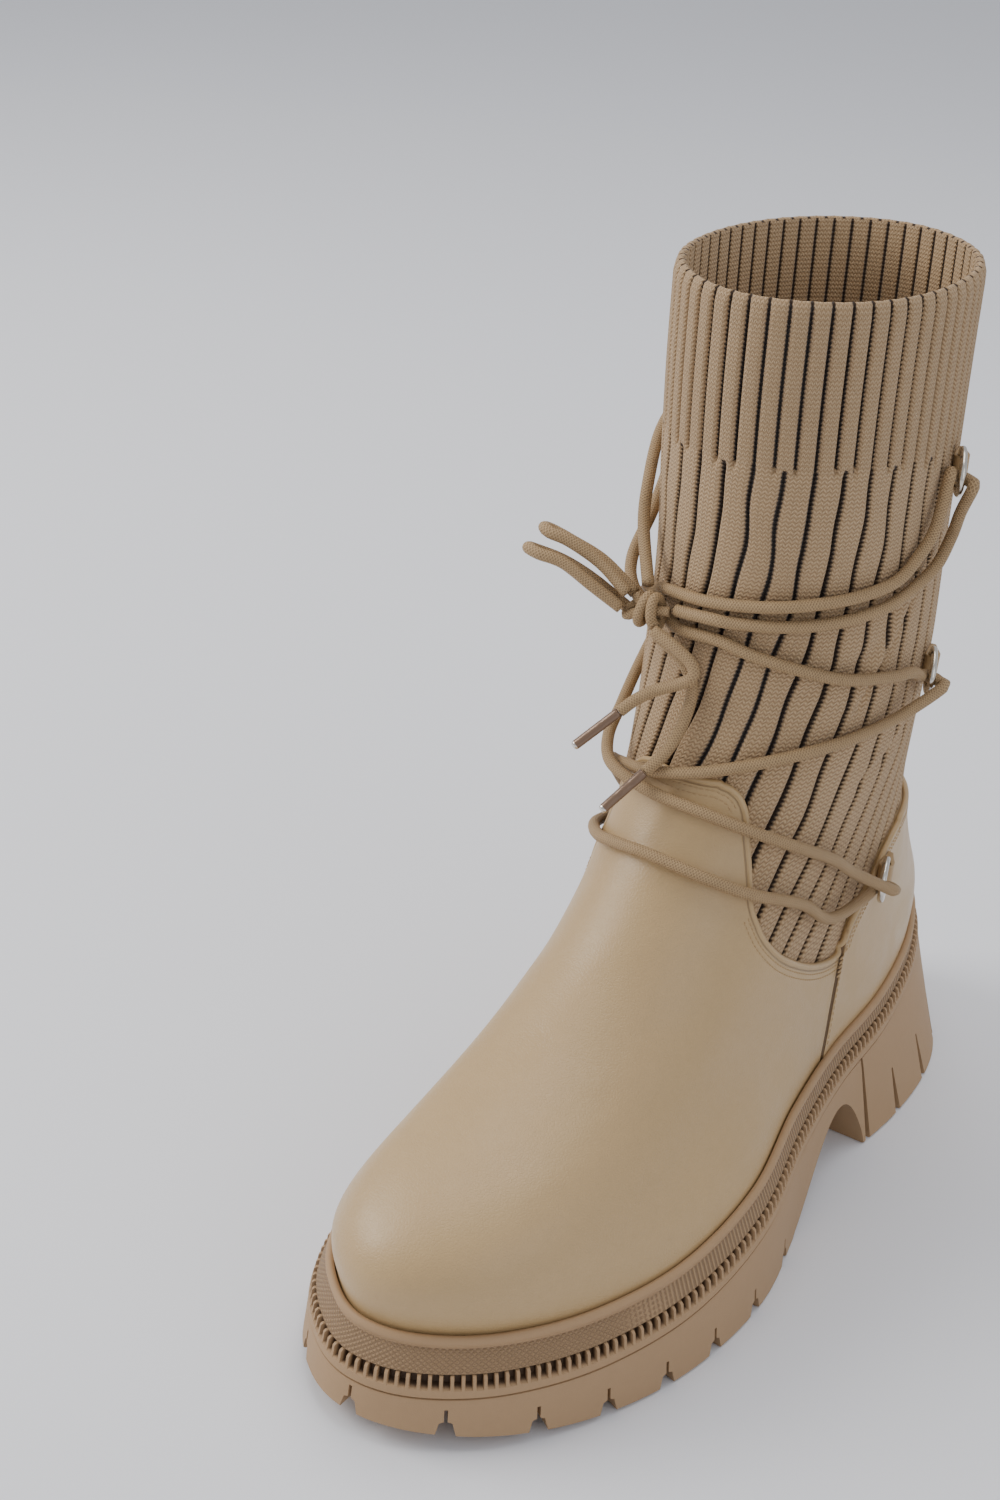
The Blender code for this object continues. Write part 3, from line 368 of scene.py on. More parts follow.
def makeLeather():
    # smooth grain, soft pulls, painted shade in the fold beside the edge roll and in the side seam's groove
    made, tree, shader = newFinish("tanLeather", leatherLook["colour"], leatherLook["rough"])
    edge, seam = uvSplit(tree, "edge")
    colour = toned(tree, leatherLook["colour"], 14.0, 0.16)
    colour = toned(tree, colour, 420.0, 0.10)
    # painted shade: darker in the side seam's groove and in a band beside the edge roll
    seamShade = ramp(tree, sums(tree, "ABSOLUTE", seam), 0.42, 0.75, 1.0, 0.0)
    tuck = ramp(tree, sums(tree, "ABSOLUTE", sums(tree, "SUBTRACT", edge, 1.05)), 0.05, 0.38, 0.55, 0.0)
    dark = sums(tree, "MAXIMUM", seamShade, tuck)
    colour = mixColour(tree, dark, colour, leatherLook["shade"])
    tree.links.new(colour, shader.inputs["Base Color"])
    place = addNode(tree, "ShaderNodeTexCoord")
    wide = addNode(tree, "ShaderNodeTexNoise", Scale=leatherLook["pull"], Detail=3.0, Distortion=0.6)
    tree.links.new(place.outputs["Object"], wide.inputs["Vector"])
    shine = ramp(tree, wide.outputs[0], 0.3, 0.7, leatherLook["rough"] - 0.05, leatherLook["rough"] + 0.07)
    tree.links.new(shine, shader.inputs["Roughness"])
    soft = bump(tree, shader, wide.outputs[0], 0.0011, 0.30)
    grain = useGroup(tree, poreGrain, Scale=leatherLook["grain"], Fine=0.9)
    fine = bump(tree, shader, grain.outputs["Height"], 0.00006, 0.55, soft)
    sink = sums(tree, "SUBTRACT", 0.0, dark)
    bump(tree, shader, sink, 0.0005, 0.8, fine)
    shader.inputs["Specular IOR Level"].default_value = 0.48
    shader.inputs["Coat Weight"].default_value = 0.10
    shader.inputs["Coat Roughness"].default_value = 0.28
    return made


# deep is painted shade for the grooves between ribs; high is a painted highlight for the crowns of the loops
knitLook = {"colour": (0.455, 0.300, 0.160), "deep": (0.045, 0.024, 0.012), "high": (0.62, 0.44, 0.26),
            "groove": 0.40}


def makeKnit():
    # u counts ribs, v counts rows of loops; every rib carries five columns of loops
    made, tree, shader = newFinish("tanKnit", knitLook["colour"], 0.92)
    u, v = uvSplit(tree, "rib")
    across = sums(tree, "SUBTRACT", sums(tree, "FRACT", u), 0.5)
    side = sums(tree, "ABSOLUTE", across)
    wave = sums(tree, "SINE", sums(tree, "MULTIPLY", v, 2 * math.pi))
    side = sums(tree, "MULTIPLY_ADD", wave, 0.013, side)
    groove = ramp(tree, side, knitLook["groove"], 0.455)
    loop = sums(tree, "FRACT", sums(tree, "MULTIPLY", u, 5.0))
    leg = sums(tree, "ABSOLUTE", sums(tree, "SUBTRACT", loop, 0.5))
    beat = sums(tree, "ADD", v, sums(tree, "MULTIPLY", leg, 1.1))
    arm = sums(tree, "COSINE", sums(tree, "MULTIPLY", beat, 2 * math.pi))
    thread = sums(tree, "MULTIPLY_ADD", arm, 0.5, 0.5)
    split = ramp(tree, leg, 0.36, 0.5, 1.0, 0.35)
    heart = ramp(tree, leg, 0.0, 0.12, 0.55, 1.0)
    loops = sums(tree, "MULTIPLY", sums(tree, "MULTIPLY", thread, split), heart)
    base = toned(tree, knitLook["colour"], 30.0, 0.14)
    base = toned(tree, base, 700.0, 0.28)
    # painted highlight on the crowns of the loops, painted shade between the loops
    colour = mixColour(tree, ramp(tree, loops, 0.15, 0.9, 0.0, 0.55), base, knitLook["high"])
    low = ramp(tree, loops, 0.0, 0.35, 0.48, 0.0)
    colour = mixColour(tree, low, colour, (0.19, 0.115, 0.06))
    # painted shade, near black, in the grooves between the ribs
    colour = mixColour(tree, groove, colour, knitLook["deep"])
    tree.links.new(colour, shader.inputs["Base Color"])
    height = sums(tree, "SUBTRACT", sums(tree, "MULTIPLY", loops, 0.5), groove)
    bump(tree, shader, height, 0.0007, 0.9)
    shader.inputs["Specular IOR Level"].default_value = 0.2
    shader.inputs["Sheen Weight"].default_value = 0.12
    shader.inputs["Sheen Roughness"].default_value = 0.6
    return made


# dark is the colour of the painted shade between the braid's strands
laceLook = {"colour": (0.450, 0.300, 0.155), "dark": (0.20, 0.122, 0.060), "plait": 8.0, "pitch": 3.1}


def makeLace():
    # waxed braid: strands run both ways round the cord; u is once round, v is in millimetres
    made, tree, shader = newFinish("tanLace", laceLook["colour"], 0.62)
    u, v = uvSplit(tree, "cord")
    turns = sums(tree, "MULTIPLY", u, laceLook["plait"])
    rise = sums(tree, "DIVIDE", v, laceLook["pitch"] / 4)
    left = sums(tree, "SINE", sums(tree, "MULTIPLY", sums(tree, "ADD", turns, rise), 2 * math.pi / 2))
    right = sums(tree, "SINE", sums(tree, "MULTIPLY", sums(tree, "SUBTRACT", turns, rise), 2 * math.pi / 2))
    plait = sums(tree, "MAXIMUM", sums(tree, "ABSOLUTE", left), sums(tree, "ABSOLUTE", right))
    plait = ramp(tree, plait, 0.55, 1.0)
    base = toned(tree, laceLook["colour"], 60.0, 0.16)
    # painted shade between the braid's strands
    colour = mixColour(tree, ramp(tree, plait, 0.0, 0.7, 0.62, 0.0), base, laceLook["dark"])
    colour = toned(tree, colour, 900.0, 0.22)
    tree.links.new(colour, shader.inputs["Base Color"])
    bump(tree, shader, plait, 0.00030, 0.9)
    shader.inputs["Specular IOR Level"].default_value = 0.35
    return made


# deep is the colour of the painted shade in the pockets between the fins
rubberLook = {"colour": (0.385, 0.243, 0.128), "deep": (0.085, 0.047, 0.024), "rough": 0.60}


def makeRubber(name, pattern):
    # pattern is knurl for the rand, teeth for the band of fins, or plain
    made, tree, shader = newFinish(name, rubberLook["colour"], rubberLook["rough"])
    colour = toned(tree, rubberLook["colour"], 22.0, 0.10)
    colour = toned(tree, colour, 600.0, 0.08)
    grain = useGroup(tree, poreGrain, Scale=1900.0, Fine=0.8)
    fine = bump(tree, shader, grain.outputs["Height"], 0.00004, 0.35)
    if pattern == "knurl":
        s, h = uvSplit(tree, "band")
        place = addNode(tree, "ShaderNodeTexCoord")
        parts = tree.nodes.new("ShaderNodeSeparateXYZ")
        tree.links.new(place.outputs["Object"], parts.inputs[0])
        lined = ramp(tree, parts.outputs[1], -0.092, -0.064)
        one = sums(tree, "PINGPONG", sums(tree, "ADD", sums(tree, "MULTIPLY", s, 0.78), h), 0.66)
        two = sums(tree, "PINGPONG", sums(tree, "SUBTRACT", sums(tree, "MULTIPLY", s, 0.78), h), 0.66)
        points = sums(tree, "MULTIPLY", sums(tree, "MULTIPLY", one, two), 2.3)
        bars = ramp(tree, sums(tree, "PINGPONG", s, 0.72), 0.12, 0.6)
        relief = addNode(tree, "ShaderNodeMix")
        tree.links.new(lined, relief.inputs[0])
        tree.links.new(points, relief.inputs[2])
        tree.links.new(bars, relief.inputs[3])
        inside = sums(tree, "MULTIPLY", ramp(tree, h, 3.5, 3.9), ramp(tree, h, -10.0, 100.0, 1.0, 1.0))
        height = sums(tree, "MULTIPLY", relief.outputs[0], inside)
        # painted shade in the hollows of the knurl
        hollow = sums(tree, "MULTIPLY", ramp(tree, relief.outputs[0], 0.0, 0.42, 0.62, 0.0), inside)
        colour = mixColour(tree, hollow, colour, (0.15, 0.088, 0.044))
        bump(tree, shader, height, 0.00055, 1.0, fine)
    if pattern == "teeth":
        s, h = uvSplit(tree, "band")
        # painted shade in the pockets between the fins
        colour = mixColour(tree, ramp(tree, s, 0.15, 0.75), colour, rubberLook["deep"])
    tree.links.new(colour, shader.inputs["Base Color"])
    shader.inputs["Specular IOR Level"].default_value = 0.38
    return made


def makePlain(name, colour, rough, metal, scale, amount, grain, depth):
    made, tree, shader = newFinish(name, colour, rough, metal)
    tree.links.new(toned(tree, colour, scale, amount), shader.inputs["Base Color"])
    pores = useGroup(tree, poreGrain, Scale=grain, Fine=0.7)
    bump(tree, shader, pores.outputs["Height"], depth, 0.5)
    return made


tanLeather = makeLeather()
tanKnit = makeKnit()
tanLace = makeLace()
randRubber = makeRubber("randRubber", "knurl")
toothRubber = makeRubber("toothRubber", "teeth")
soleRubber = makeRubber("soleRubber", "plain")
liningCloth = makePlain("liningCloth", (0.50, 0.37, 0.23), 0.9, 0.0, 40.0, 0.12, 1500.0, 0.00008)
tabLeather = makePlain("tabLeather", (0.43, 0.285, 0.14), 0.48, 0.0, 60.0, 0.14, 1300.0, 0.00005)
threadTan = makePlain("threadTan", (0.44, 0.29, 0.14), 0.7, 0.0, 200.0, 0.2, 3000.0, 0.00003)
ringMetal = makePlain("ringMetal", (0.66, 0.62, 0.55), 0.20, 1.0, 80.0, 0.10, 2400.0, 0.00001)
agletBrown = makePlain("agletBrown", (0.20, 0.125, 0.080), 0.24, 0.35, 120.0, 0.12, 2000.0, 0.00001)
agletTip = makePlain("agletTip", (0.72, 0.68, 0.62), 0.22, 1.0, 120.0, 0.05, 2000.0, 0.00001)
bpy.context.view_layer.update()
print("materials ready")


# ---- mesh helpers ----------------------------------------------------------------------


def finishPiece(piece, nodes, turnOut=True):
    mesh = piece.data
    if turnOut:
        bm = bmesh.new()
        bm.from_mesh(mesh)
        bmesh.ops.recalc_face_normals(bm, faces=bm.faces)
        if bm.calc_volume(signed=True) < 0:
            bmesh.ops.reverse_faces(bm, faces=bm.faces)
        bm.to_mesh(mesh)
        bm.free()
    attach(piece, "root")
    if nodes:
        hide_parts(*nodes)
    return piece


def oneLook(r):
    return np.zeros(len(r))


def gridPiece(name, points, looks, lookOf, uvs, closedRows, angle=50):
    # mesh from rows of points that close round the boot; closedRows also joins last to first
    rows, cols = points.shape[:2]
    rings = rows if closedRows else rows - 1
    r = np.repeat(np.arange(rings), cols)
    c = np.tile(np.arange(cols), rings)
    r2 = (r + 1) % rows
    c2 = (c + 1) % cols
    faces = np.stack([r * cols + c, r * cols + c2, r2 * cols + c2, r2 * cols + c], -1)
    mesh = bpy.data.meshes.new(name)
    mesh.vertices.add(rows * cols)
    mesh.vertices.foreach_set("co", points.reshape(-1))
    mesh.loops.add(faces.size)
    mesh.loops.foreach_set("vertex_index", faces.reshape(-1).astype(np.int32))
    mesh.polygons.add(len(faces))
    mesh.polygons.foreach_set("loop_start", np.arange(0, faces.size, 4, dtype=np.int32))
    for look in looks:
        mesh.materials.append(look)
    mesh.polygons.foreach_set("material_index", lookOf(r).astype(np.int32))
    for uvName, grid in uvs.items():
        layer = mesh.uv_layers.new(name=uvName)
        layer.data.foreach_set("uv", grid(r, c).reshape(-1).astype(np.float32))
    mesh.update(calc_edges=True)
    mesh.validate()
    piece = bpy.data.objects.new(name, mesh)
    bpy.context.scene.collection.objects.link(piece)
    mesh.shade_smooth()
    mesh.set_sharp_from_angle(angle=math.radians(angle))
    return piece


def wrapped(values):
    # adds the first column again at the end, so that the last face doesn't run backwards
    return np.concatenate([values, values[:, :1]], 1)


def quadUv(first, second, rows):
    # loop values of two grids that already hold their closing column
    def give(r, c):
        r2 = (r + 1) % rows
        corners = ((r, c), (r, c + 1), (r2, c + 1), (r2, c))
        return np.stack([np.stack([first[a, b], second[a, b]], -1) for a, b in corners], 1)
    return give


def tubeFrames(path, closed):
    # steady frames along a path, carried from point to point without twist
    way = np.roll(path, -1, 0) - np.roll(path, 1, 0)
    if not closed:
        way[0] = path[1] - path[0]
        way[-1] = path[-1] - path[-2]
    way /= np.linalg.norm(way, axis=1, keepdims=True)
    side = np.cross(way[0], (0.31, 0.12, 0.94))
    side /= np.linalg.norm(side)
    sides = []
    for step in way:
        side = side - step * side.dot(step)
        side = side / np.linalg.norm(side)
        sides.append(side)
    sides = np.array(sides)
    return way, sides, np.cross(way, sides)


def runLength(points):
    # distance gone along a line at each of its points
    return np.concatenate([[0.0], np.cumsum(np.linalg.norm(np.diff(points, axis=0), axis=1))])


def fillEnds(piece, split=False, turnOut=False):
    # closes the open ends of a grid with flat faces
    bm = bmesh.new()
    bm.from_mesh(piece.data)
    bmesh.ops.holes_fill(bm, edges=[e for e in bm.edges if e.is_boundary], sides=0)
    if turnOut:
        bmesh.ops.recalc_face_normals(bm, faces=bm.faces)
    if split:
        bmesh.ops.triangulate(bm, faces=[f for f in bm.faces if len(f.verts) > 4])
    bm.to_mesh(piece.data)
    bm.free()


def tubeMesh(name, path, radius, look, round_=14, closed=False):
    path = np.asarray(path, float)
    way, one, two = tubeFrames(path, closed)
    angle = 2 * math.pi * np.arange(round_) / round_
    radius = np.broadcast_to(np.asarray(radius, float), (len(path),))
    ring = (one[:, None] * np.cos(angle)[None, :, None] + two[:, None] * np.sin(angle)[None, :, None])
    points = path[:, None] + ring * radius[:, None, None]
    length = runLength(path) / mm
    u = np.tile(np.arange(round_ + 1) / round_, (len(path), 1))
    v = np.tile(length[:, None], (1, round_ + 1))
    piece = gridPiece(name, points, [look], oneLook, {"cord": quadUv(u, v, len(path))},
                      closed, 70)
    if not closed:
        fillEnds(piece)
    return piece


def joinPieces(pieces):
    bpy.ops.object.select_all(action="DESELECT")
    for piece in pieces:
        piece.select_set(True)
    bpy.context.view_layer.objects.active = pieces[0]
    bpy.ops.object.join()
    bpy.ops.object.select_all(action="DESELECT")
    return pieces[0]


def applyAll(piece):
    bpy.ops.object.select_all(action="DESELECT")
    piece.select_set(True)
    bpy.context.view_layer.objects.active = piece
    for modifier in list(piece.modifiers):
        bpy.ops.object.modifier_apply(modifier=modifier.name)
    bpy.ops.object.select_all(action="DESELECT")


def stitchModel(length, thick):
    # one thread stitch, a stretched ball, modelled once and copied
    bpy.ops.mesh.primitive_uv_sphere_add(segments=6, ring_count=4, radius=1.0)
    ball = bpy.context.object
    ball.data.transform(Matrix.Diagonal((0.5 * thick, 0.5 * thick, 0.5 * length, 1.0)))
    verts = np.array([v.co for v in ball.data.vertices])
    faces = [tuple(p.vertices) for p in ball.data.polygons]
    bpy.data.objects.remove(ball, do_unlink=True)
    return verts, faces


def stitchRow(name, lines, pitch, length, thick):
    # copies of one stitch along lines of (point, normal) pairs
    verts, faces = stitchModel(length, thick)
    allVerts = []
    allFaces = []
    for spots, normals in lines:
        gone = runLength(spots)
        marks = np.arange(0.5 * pitch, gone[-1], pitch)
        place = np.stack([np.interp(marks, gone, spots[:, i]) for i in range(3)], -1)
        ahead = np.stack([np.interp(marks + 0.3 * mm, gone, spots[:, i]) for i in range(3)], -1)
        out = np.stack([np.interp(marks, gone, normals[:, i]) for i in range(3)], -1)
        for p, q, n in zip(place, ahead, out):
            way = q - p
            if np.linalg.norm(way) < 1e-9:
                continue
            way /= np.linalg.norm(way)
            n = n / np.linalg.norm(n)
            aside = np.cross(n, way)
            start = len(allVerts) * len(verts)
            allVerts.append(p + n * 0.10 * thick + verts[:, :1] * aside + verts[:, 1:2] * n * 0.8
                            + verts[:, 2:] * way)
            allFaces += [tuple(start + i for i in f) for f in faces]
    mesh = bpy.data.meshes.new(name)
    mesh.from_pydata(np.concatenate(allVerts).tolist(), [], allFaces)
    mesh.shade_smooth()
    mesh.materials.append(threadTan)
    piece = bpy.data.objects.new(name, mesh)
    bpy.context.scene.collection.objects.link(piece)
    return finishPiece(piece, ())


# ---- leather upper ---------------------------------------------------------------------

edge = {
    "tab": 0.127, "gusset": 0.0653, "counter": 0.092, "roll": 0.95 * mm, "proud": 0.25 * mm,
    "rows": 92, "columns": 150, "seamColumns": 24,
}
tab, gusset, counter = edge["tab"], edge["gusset"], edge["counter"]
edgeSide = [
    (-0.400, tab), (-0.200, tab), (-0.040, tab), (-0.024, tab - 0.2 * mm), (-0.017, tab - 2.5 * mm),
    (-0.0155, tab - 7 * mm), (-0.020, tab - 13.5 * mm), (-0.0275, gusset + 37 * mm),
    (-0.0298, gusset + 32 * mm), (-0.0280, gusset + 28 * mm), (-0.0196, gusset + 21.5 * mm),
    (0.0016, gusset + 15 * mm), (0.0310, gusset + 9.5 * mm), (0.0700, gusset + 4 * mm),
    (0.1050, gusset + 0.8 * mm), (0.1280, gusset), (0.1380, gusset + 1.6 * mm),
    (0.1520, gusset + 6.5 * mm), (0.1740, counter - 16 * mm), (0.2040, counter - 11 * mm),
    (0.2300, counter - 5 * mm), (0.2700, counter - 1.5 * mm), (0.3300, counter), (0.8000, counter),
]                                                # side view of the leather's top edge


def beyond(y, z, side, top):
    # true where a point of the wall is past a side-view line; the line closes over the boot
    line = [(p[0], p[1]) for p in smoothLine([(a * last["long"] + shift.y, b, 0) for a, b in side], 1.2 * mm)]
    line += [(line[-1][0], top), (line[0][0], top)]
    inside = np.zeros(y.shape, bool)
    for (y1, z1), (y2, z2) in zip(line, line[1:] + line[:1]):
        if z1 == z2:
            continue
        cross = ((z1 > z) != (z2 > z)) & (y < (y2 - y1) * (z - z1) / (z2 - z1) + y1)
        inside ^= cross
    return inside


def edgeLevels(base, side, top, low, high, keep):
    # level at which each column meets a side-view line
    tries = np.arange(low, high, 0.1)[:, None]
    spots = wallPoint(tries, leanTurn(tries, base[None, :]))
    past = beyond(spots[..., 1], spots[..., 2], side, top) == keep
    first = np.argmax(past, 0)
    a = tries[np.maximum(first - 1, 0), 0]
    b = tries[first, 0]
    for _ in range(9):
        middle = 0.5 * (a + b)
        spots = wallPoint(middle, leanTurn(middle, base))
        hit = beyond(spots[:, 1], spots[:, 2], side, top) == keep
        b = np.where(hit, middle, b)
        a = np.where(hit, a, middle)
    return 0.5 * (a + b)


even = np.linspace(0.0, math.pi, edge["columns"] + 1)
fineStep = 3.2 * mm / (0.5 * last["long"])
near = np.linspace(seamTurn - fineStep, seamTurn + fineStep, edge["seamColumns"] + 1)
half = np.sort(np.concatenate([even[np.abs(even - seamTurn) > fineStep * 1.15], near]))
columns = np.concatenate([half, -half[-2:0:-1]])
meet = edgeLevels(columns, edgeSide, 0.26, 3.0, 13.6, True)
stretch = np.linspace(0.0, 1.0, edge["rows"])
stretch = stretch + 0.10 * np.sin(math.pi * stretch)
outerLevel = stretch[:, None] * meet[None, :]
outerTurn = leanTurn(outerLevel, np.broadcast_to(columns, outerLevel.shape))
flat = wallPoint(outerLevel, outerTurn)
seamDist = (flat[..., 1] - seamLine(flat[..., 2])) / mm
onSeam = (np.abs(np.abs(columns) - seamTurn) < 0.7)[None, :]
seamDist = np.where(onSeam, seamDist, np.where(np.abs(columns)[None, :] > seamTurn, 30.0, -30.0))
proud = last["step"] / mm * np.clip((seamDist - 0.1) / 0.6, 0, 1) ** 0.5
outerOut = (proud - 0.75 * np.exp(-(seamDist / 0.42) ** 2)) * mm
swell = np.exp(-((seamDist + 1.6) / 1.1) ** 2) * 0.12 * mm
outer = flat + wallNormal(outerLevel, outerTurn) * (outerOut + swell)[..., None]

# soft dents and pulls of the leather: turn, height, across, along, depth
dents = [
    (-8, 92, 26, 9, 0.55), (20, 99, 20, 5, 0.45), (-30, 106, 18, 4, 0.40), (36, 78, 16, 7, 0.50),
    (52, 64, 20, 6, 0.45), (10, 71, 30, 10, 0.40), (-45, 80, 16, 6, 0.45), (70, 52, 16, 8, 0.35),
    (-70, 60, 18, 7, 0.45), (140, 66, 18, 9, 0.35), (-140, 68, 18, 9, 0.35), (28, 112, 12, 4, 0.35),
]
for turnAt, heightAt, wide, tall, depth in dents:
    here = wallPoint(levelAt(math.radians(turnAt), heightAt * mm), math.radians(turnAt))
    gap = (outer - here) / mm
    level = np.hypot(gap[..., 0], gap[..., 1]) / wide
    press = np.exp(-level ** 2 - (gap[..., 2] / tall) ** 2)
    outer -= wallNormal(outerLevel, outerTurn) * (press * depth * mm)[..., None]

edgeSpots = outer[-1]
fine = smoothLine(edgeSpots, 0.5 * mm, True)
edgeDist = np.full(outer.shape[:2], 30.0)
for row in range(int(edge["rows"] * 0.60), edge["rows"]):
    away = np.linalg.norm(outer[row][:, None] - fine[None, :], axis=-1)
    edgeDist[row] = away.min(1) / mm

innerRows = np.linspace(1.0, 0.0, 26)
innerLevel = innerRows[:, None] * meet[None, :]
innerTurn = leanTurn(innerLevel, np.broadcast_to(columns, innerLevel.shape))
lining = onWall(innerLevel, innerTurn, np.full(innerLevel.shape, -last["leather"]))
tuckTurn = leanTurn(np.zeros(len(columns)), columns)
tuckLow = seatHeight(tuckTurn) - 2.4 * mm
tuckOut = soleEdge(tuckTurn, 0.0, tuckLow)
tuckIn = soleEdge(tuckTurn, -last["leather"], tuckLow)
leatherPoints = np.concatenate([tuckOut[None], outer, lining, tuckIn[None]])
rowCount = len(leatherPoints)
edgeMap = np.full(leatherPoints.shape[:2], 30.0)
edgeMap[1:1 + edge["rows"]] = edgeDist
seamMap = np.full(leatherPoints.shape[:2], 30.0)
seamMap[1:1 + edge["rows"]] = seamDist
seamMap[0] = seamDist[0]
upperLeather = gridPiece(
    "upperLeather", leatherPoints, [tanLeather, liningCloth],
    lambda r: (r > edge["rows"]) & (r < rowCount),
    {"edge": quadUv(wrapped(edgeMap), wrapped(seamMap), rowCount)}, True, 60)
finishPiece(upperLeather, ["upper"])

# folded edge of the leather, a slim roll standing just proud of it
topTurn = leanTurn(meet, columns)
rollPath = edgeSpots - wallNormal(meet, topTurn) * (edge["roll"] - edge["proud"])
rollPath = smoothLine(rollPath, 1.1 * mm, True)
edgeRoll = tubeMesh("edgeRoll", rollPath, edge["roll"], tanLeather, 10, True)
layer = edgeRoll.data.uv_layers.new(name="edge")
layer.data.foreach_set("uv", np.full(len(layer.data) * 2, 30.0, np.float32))
finishPiece(edgeRoll, ())

# stitch rows follow the edge and the side seam at fixed distances, laid on the leather
leatherTree = BVHTree.FromPolygons([Vector(p) for p in leatherPoints.reshape(-1, 3)],
                                   [tuple(p.vertices) for p in upperLeather.data.polygons])


def laidLine(points, sideways):
    spots = []
    normals = []
    for point, move in zip(points, sideways):
        found, normal, index, far = leatherTree.find_nearest(Vector(point + move))
        spots.append(np.array(found))
        normals.append(np.array(normal))
    return np.array(spots), np.array(normals)


ringPoints = smoothLine(edgeSpots, 0.9 * mm, True)
ringWay = np.roll(ringPoints, -2, 0) - np.roll(ringPoints, 2, 0)
ringWay /= np.linalg.norm(ringWay, axis=1, keepdims=True)
ringTurnOut = []
for point in ringPoints:
    found, normal, index, far = leatherTree.find_nearest(Vector(point) + Vector((0, 0, -1.5 * mm)))
    ringTurnOut.append(np.array(normal))
centre = ringPoints.mean(0)
outward = np.array(ringTurnOut)
flip = np.sign(((ringPoints - centre)[:, :2] * outward[:, :2]).sum(1))
outward *= np.where(flip == 0, 1, flip)[:, None]
down = np.cross(outward, ringWay)
down /= np.linalg.norm(down, axis=1, keepdims=True)
down *= np.sign(-down[:, 2:].mean())
rows = []
for away in (2.0 * mm, 3.5 * mm):
    rows.append(laidLine(ringPoints, down * away))
closedRows = [(np.concatenate([s, s[:1]]), np.concatenate([n, n[:1]])) for s, n in rows]
stitchRow("edgeStitches", closedRows, 1.45 * mm, 1.15 * mm, 0.42 * mm)

seamRows = []
for side in (1, -1):
    level = np.linspace(0.35, 5.05, 60)
    turn = leanTurn(level, np.full(60, seamTurn + 1.75 * mm / (0.5 * last["long"]))) * side
    seamRows.append((onWall(level, turn, np.full(60, last["step"])), wallNormal(level, turn)))
stitchRow("seamStitches", seamRows, 1.7 * mm, 1.3 * mm, 0.40 * mm)

# bar tack that locks the seam at the foot of the gusset
tacks = []
for side in (1, -1):
    turn = math.radians(108.5) * side
    heights = np.linspace(0.0600, 0.0648, 5)
    for height in heights:
        level = float(levelAt(turn, height))
        mid = leanTurn(level, np.array([seamTurn]))[0] * side
        spread = 1.5 * mm / (0.5 * last["long"])
        ends = np.array([mid - spread, mid + spread])
        spots = onWall(np.full(2, level), ends, np.full(2, last["step"] + 0.1 * mm))
        tacks.append((np.linspace(spots[0], spots[1], 6), np.tile(wallNormal(level, mid), (6, 1))))
stitchRow("barTacks", tacks, 3.0 * mm, 2.7 * mm, 0.75 * mm)
print("leather upper ready")


# ---- knitted shaft ---------------------------------------------------------------------

ribs = {
    "low": 34, "high": 51, "columns": 714, "rows": 128, "change": 0.2085, "deep": 1.45 * mm,
    "crown": 0.55 * mm, "row": 1.12 * mm,
}
hemSide = [
    (-0.8, tab - 20 * mm), (-0.11, tab - 20 * mm), (-0.045, 0.5 * (tab + gusset)),
    (-0.01, gusset + 8 * mm), (0.03, gusset), (0.08, gusset - 7 * mm), (0.13, gusset - 10 * mm),
    (0.20, gusset - 8 * mm), (0.30, counter - 24 * mm), (0.8, counter - 20 * mm),
]
knitFace = -last["leather"] - last["gap"]


def knitGrid():
    # turn of every knitted column at every row; ribs stay evenly spaced round the leg and
    # lean with the twist of the sock over the instep
    levels = np.arange(3.0, topLevel + 0.01, 0.25)
    turns = np.linspace(-math.pi, math.pi, 721)
    rings = wallPoint(levels[:, None], turns[None, :])
    length = np.linalg.norm(np.diff(rings, axis=1), axis=-1)
    length = np.concatenate([np.zeros((len(levels), 1)), np.cumsum(length, 1)], 1)
    share = length / length[:, -1:]
    base = np.arange(ribs["columns"]) / ribs["columns"]
    guess = np.interp(base, share[-12], turns)
    hem = edgeLevels(guess, hemSide, -0.1, 3.0, 14.0, False)
    hem = 0.25 * np.roll(hem, 2) + 0.5 * hem + 0.25 * np.roll(hem, -2)
    up = np.linspace(0.0, 1.0, ribs["rows"])[:, None]
    level = hem[None, :] + (topLevel - hem[None, :]) * up
    height = wallPoint(level, guess[None, :])[..., 2] / mm
    twist = np.interp(height, (60, 110, 126, 142, 158, 174, 188, 208, 250),
                      (-16, -16, -13.2, -9.6, -6.2, -3.2, -1.2, 0.0, 0.0))
    wobble = (0.35 * np.sin(height / 6.1 + base[None, :] * 40)
              + 0.25 * np.sin(height / 3.7 + base[None, :] * 95))
    wobble *= np.clip((208 - height) / 12, 0, 1)
    degrees = np.degrees(guess)[None, :]
    front = np.clip((112 - degrees) / 75, 0, 1) * np.clip((degrees + 165) / 60, 0, 1)
    front = front * front * (3 - 2 * front)
    q = base[None, :] + (twist * front + wobble) / 262.0
    q = q % 1.0
    place = (level - levels[0]) / 0.25
    i = np.clip(place.astype(int), 0, len(levels) - 2)
    f = np.clip(place - i, 0, 1)
    turn = np.zeros(level.shape)
    for k in range(len(levels)):
        at = np.interp(q, share[k], turns)
        turn += at * np.where(i == k, 1 - f, np.where(i + 1 == k, f, 0.0))
    return level, turn, base


def ribRelief(phase, wide):
    # crowned rib between two narrow deep grooves
    across = np.abs(phase - np.floor(phase) - 0.5)
    away = (0.5 - across) * wide
    return ribs["crown"] * (1 - (2 * across) ** 4) - ribs["deep"] * np.exp(-(away / (0.52 * mm)) ** 2)


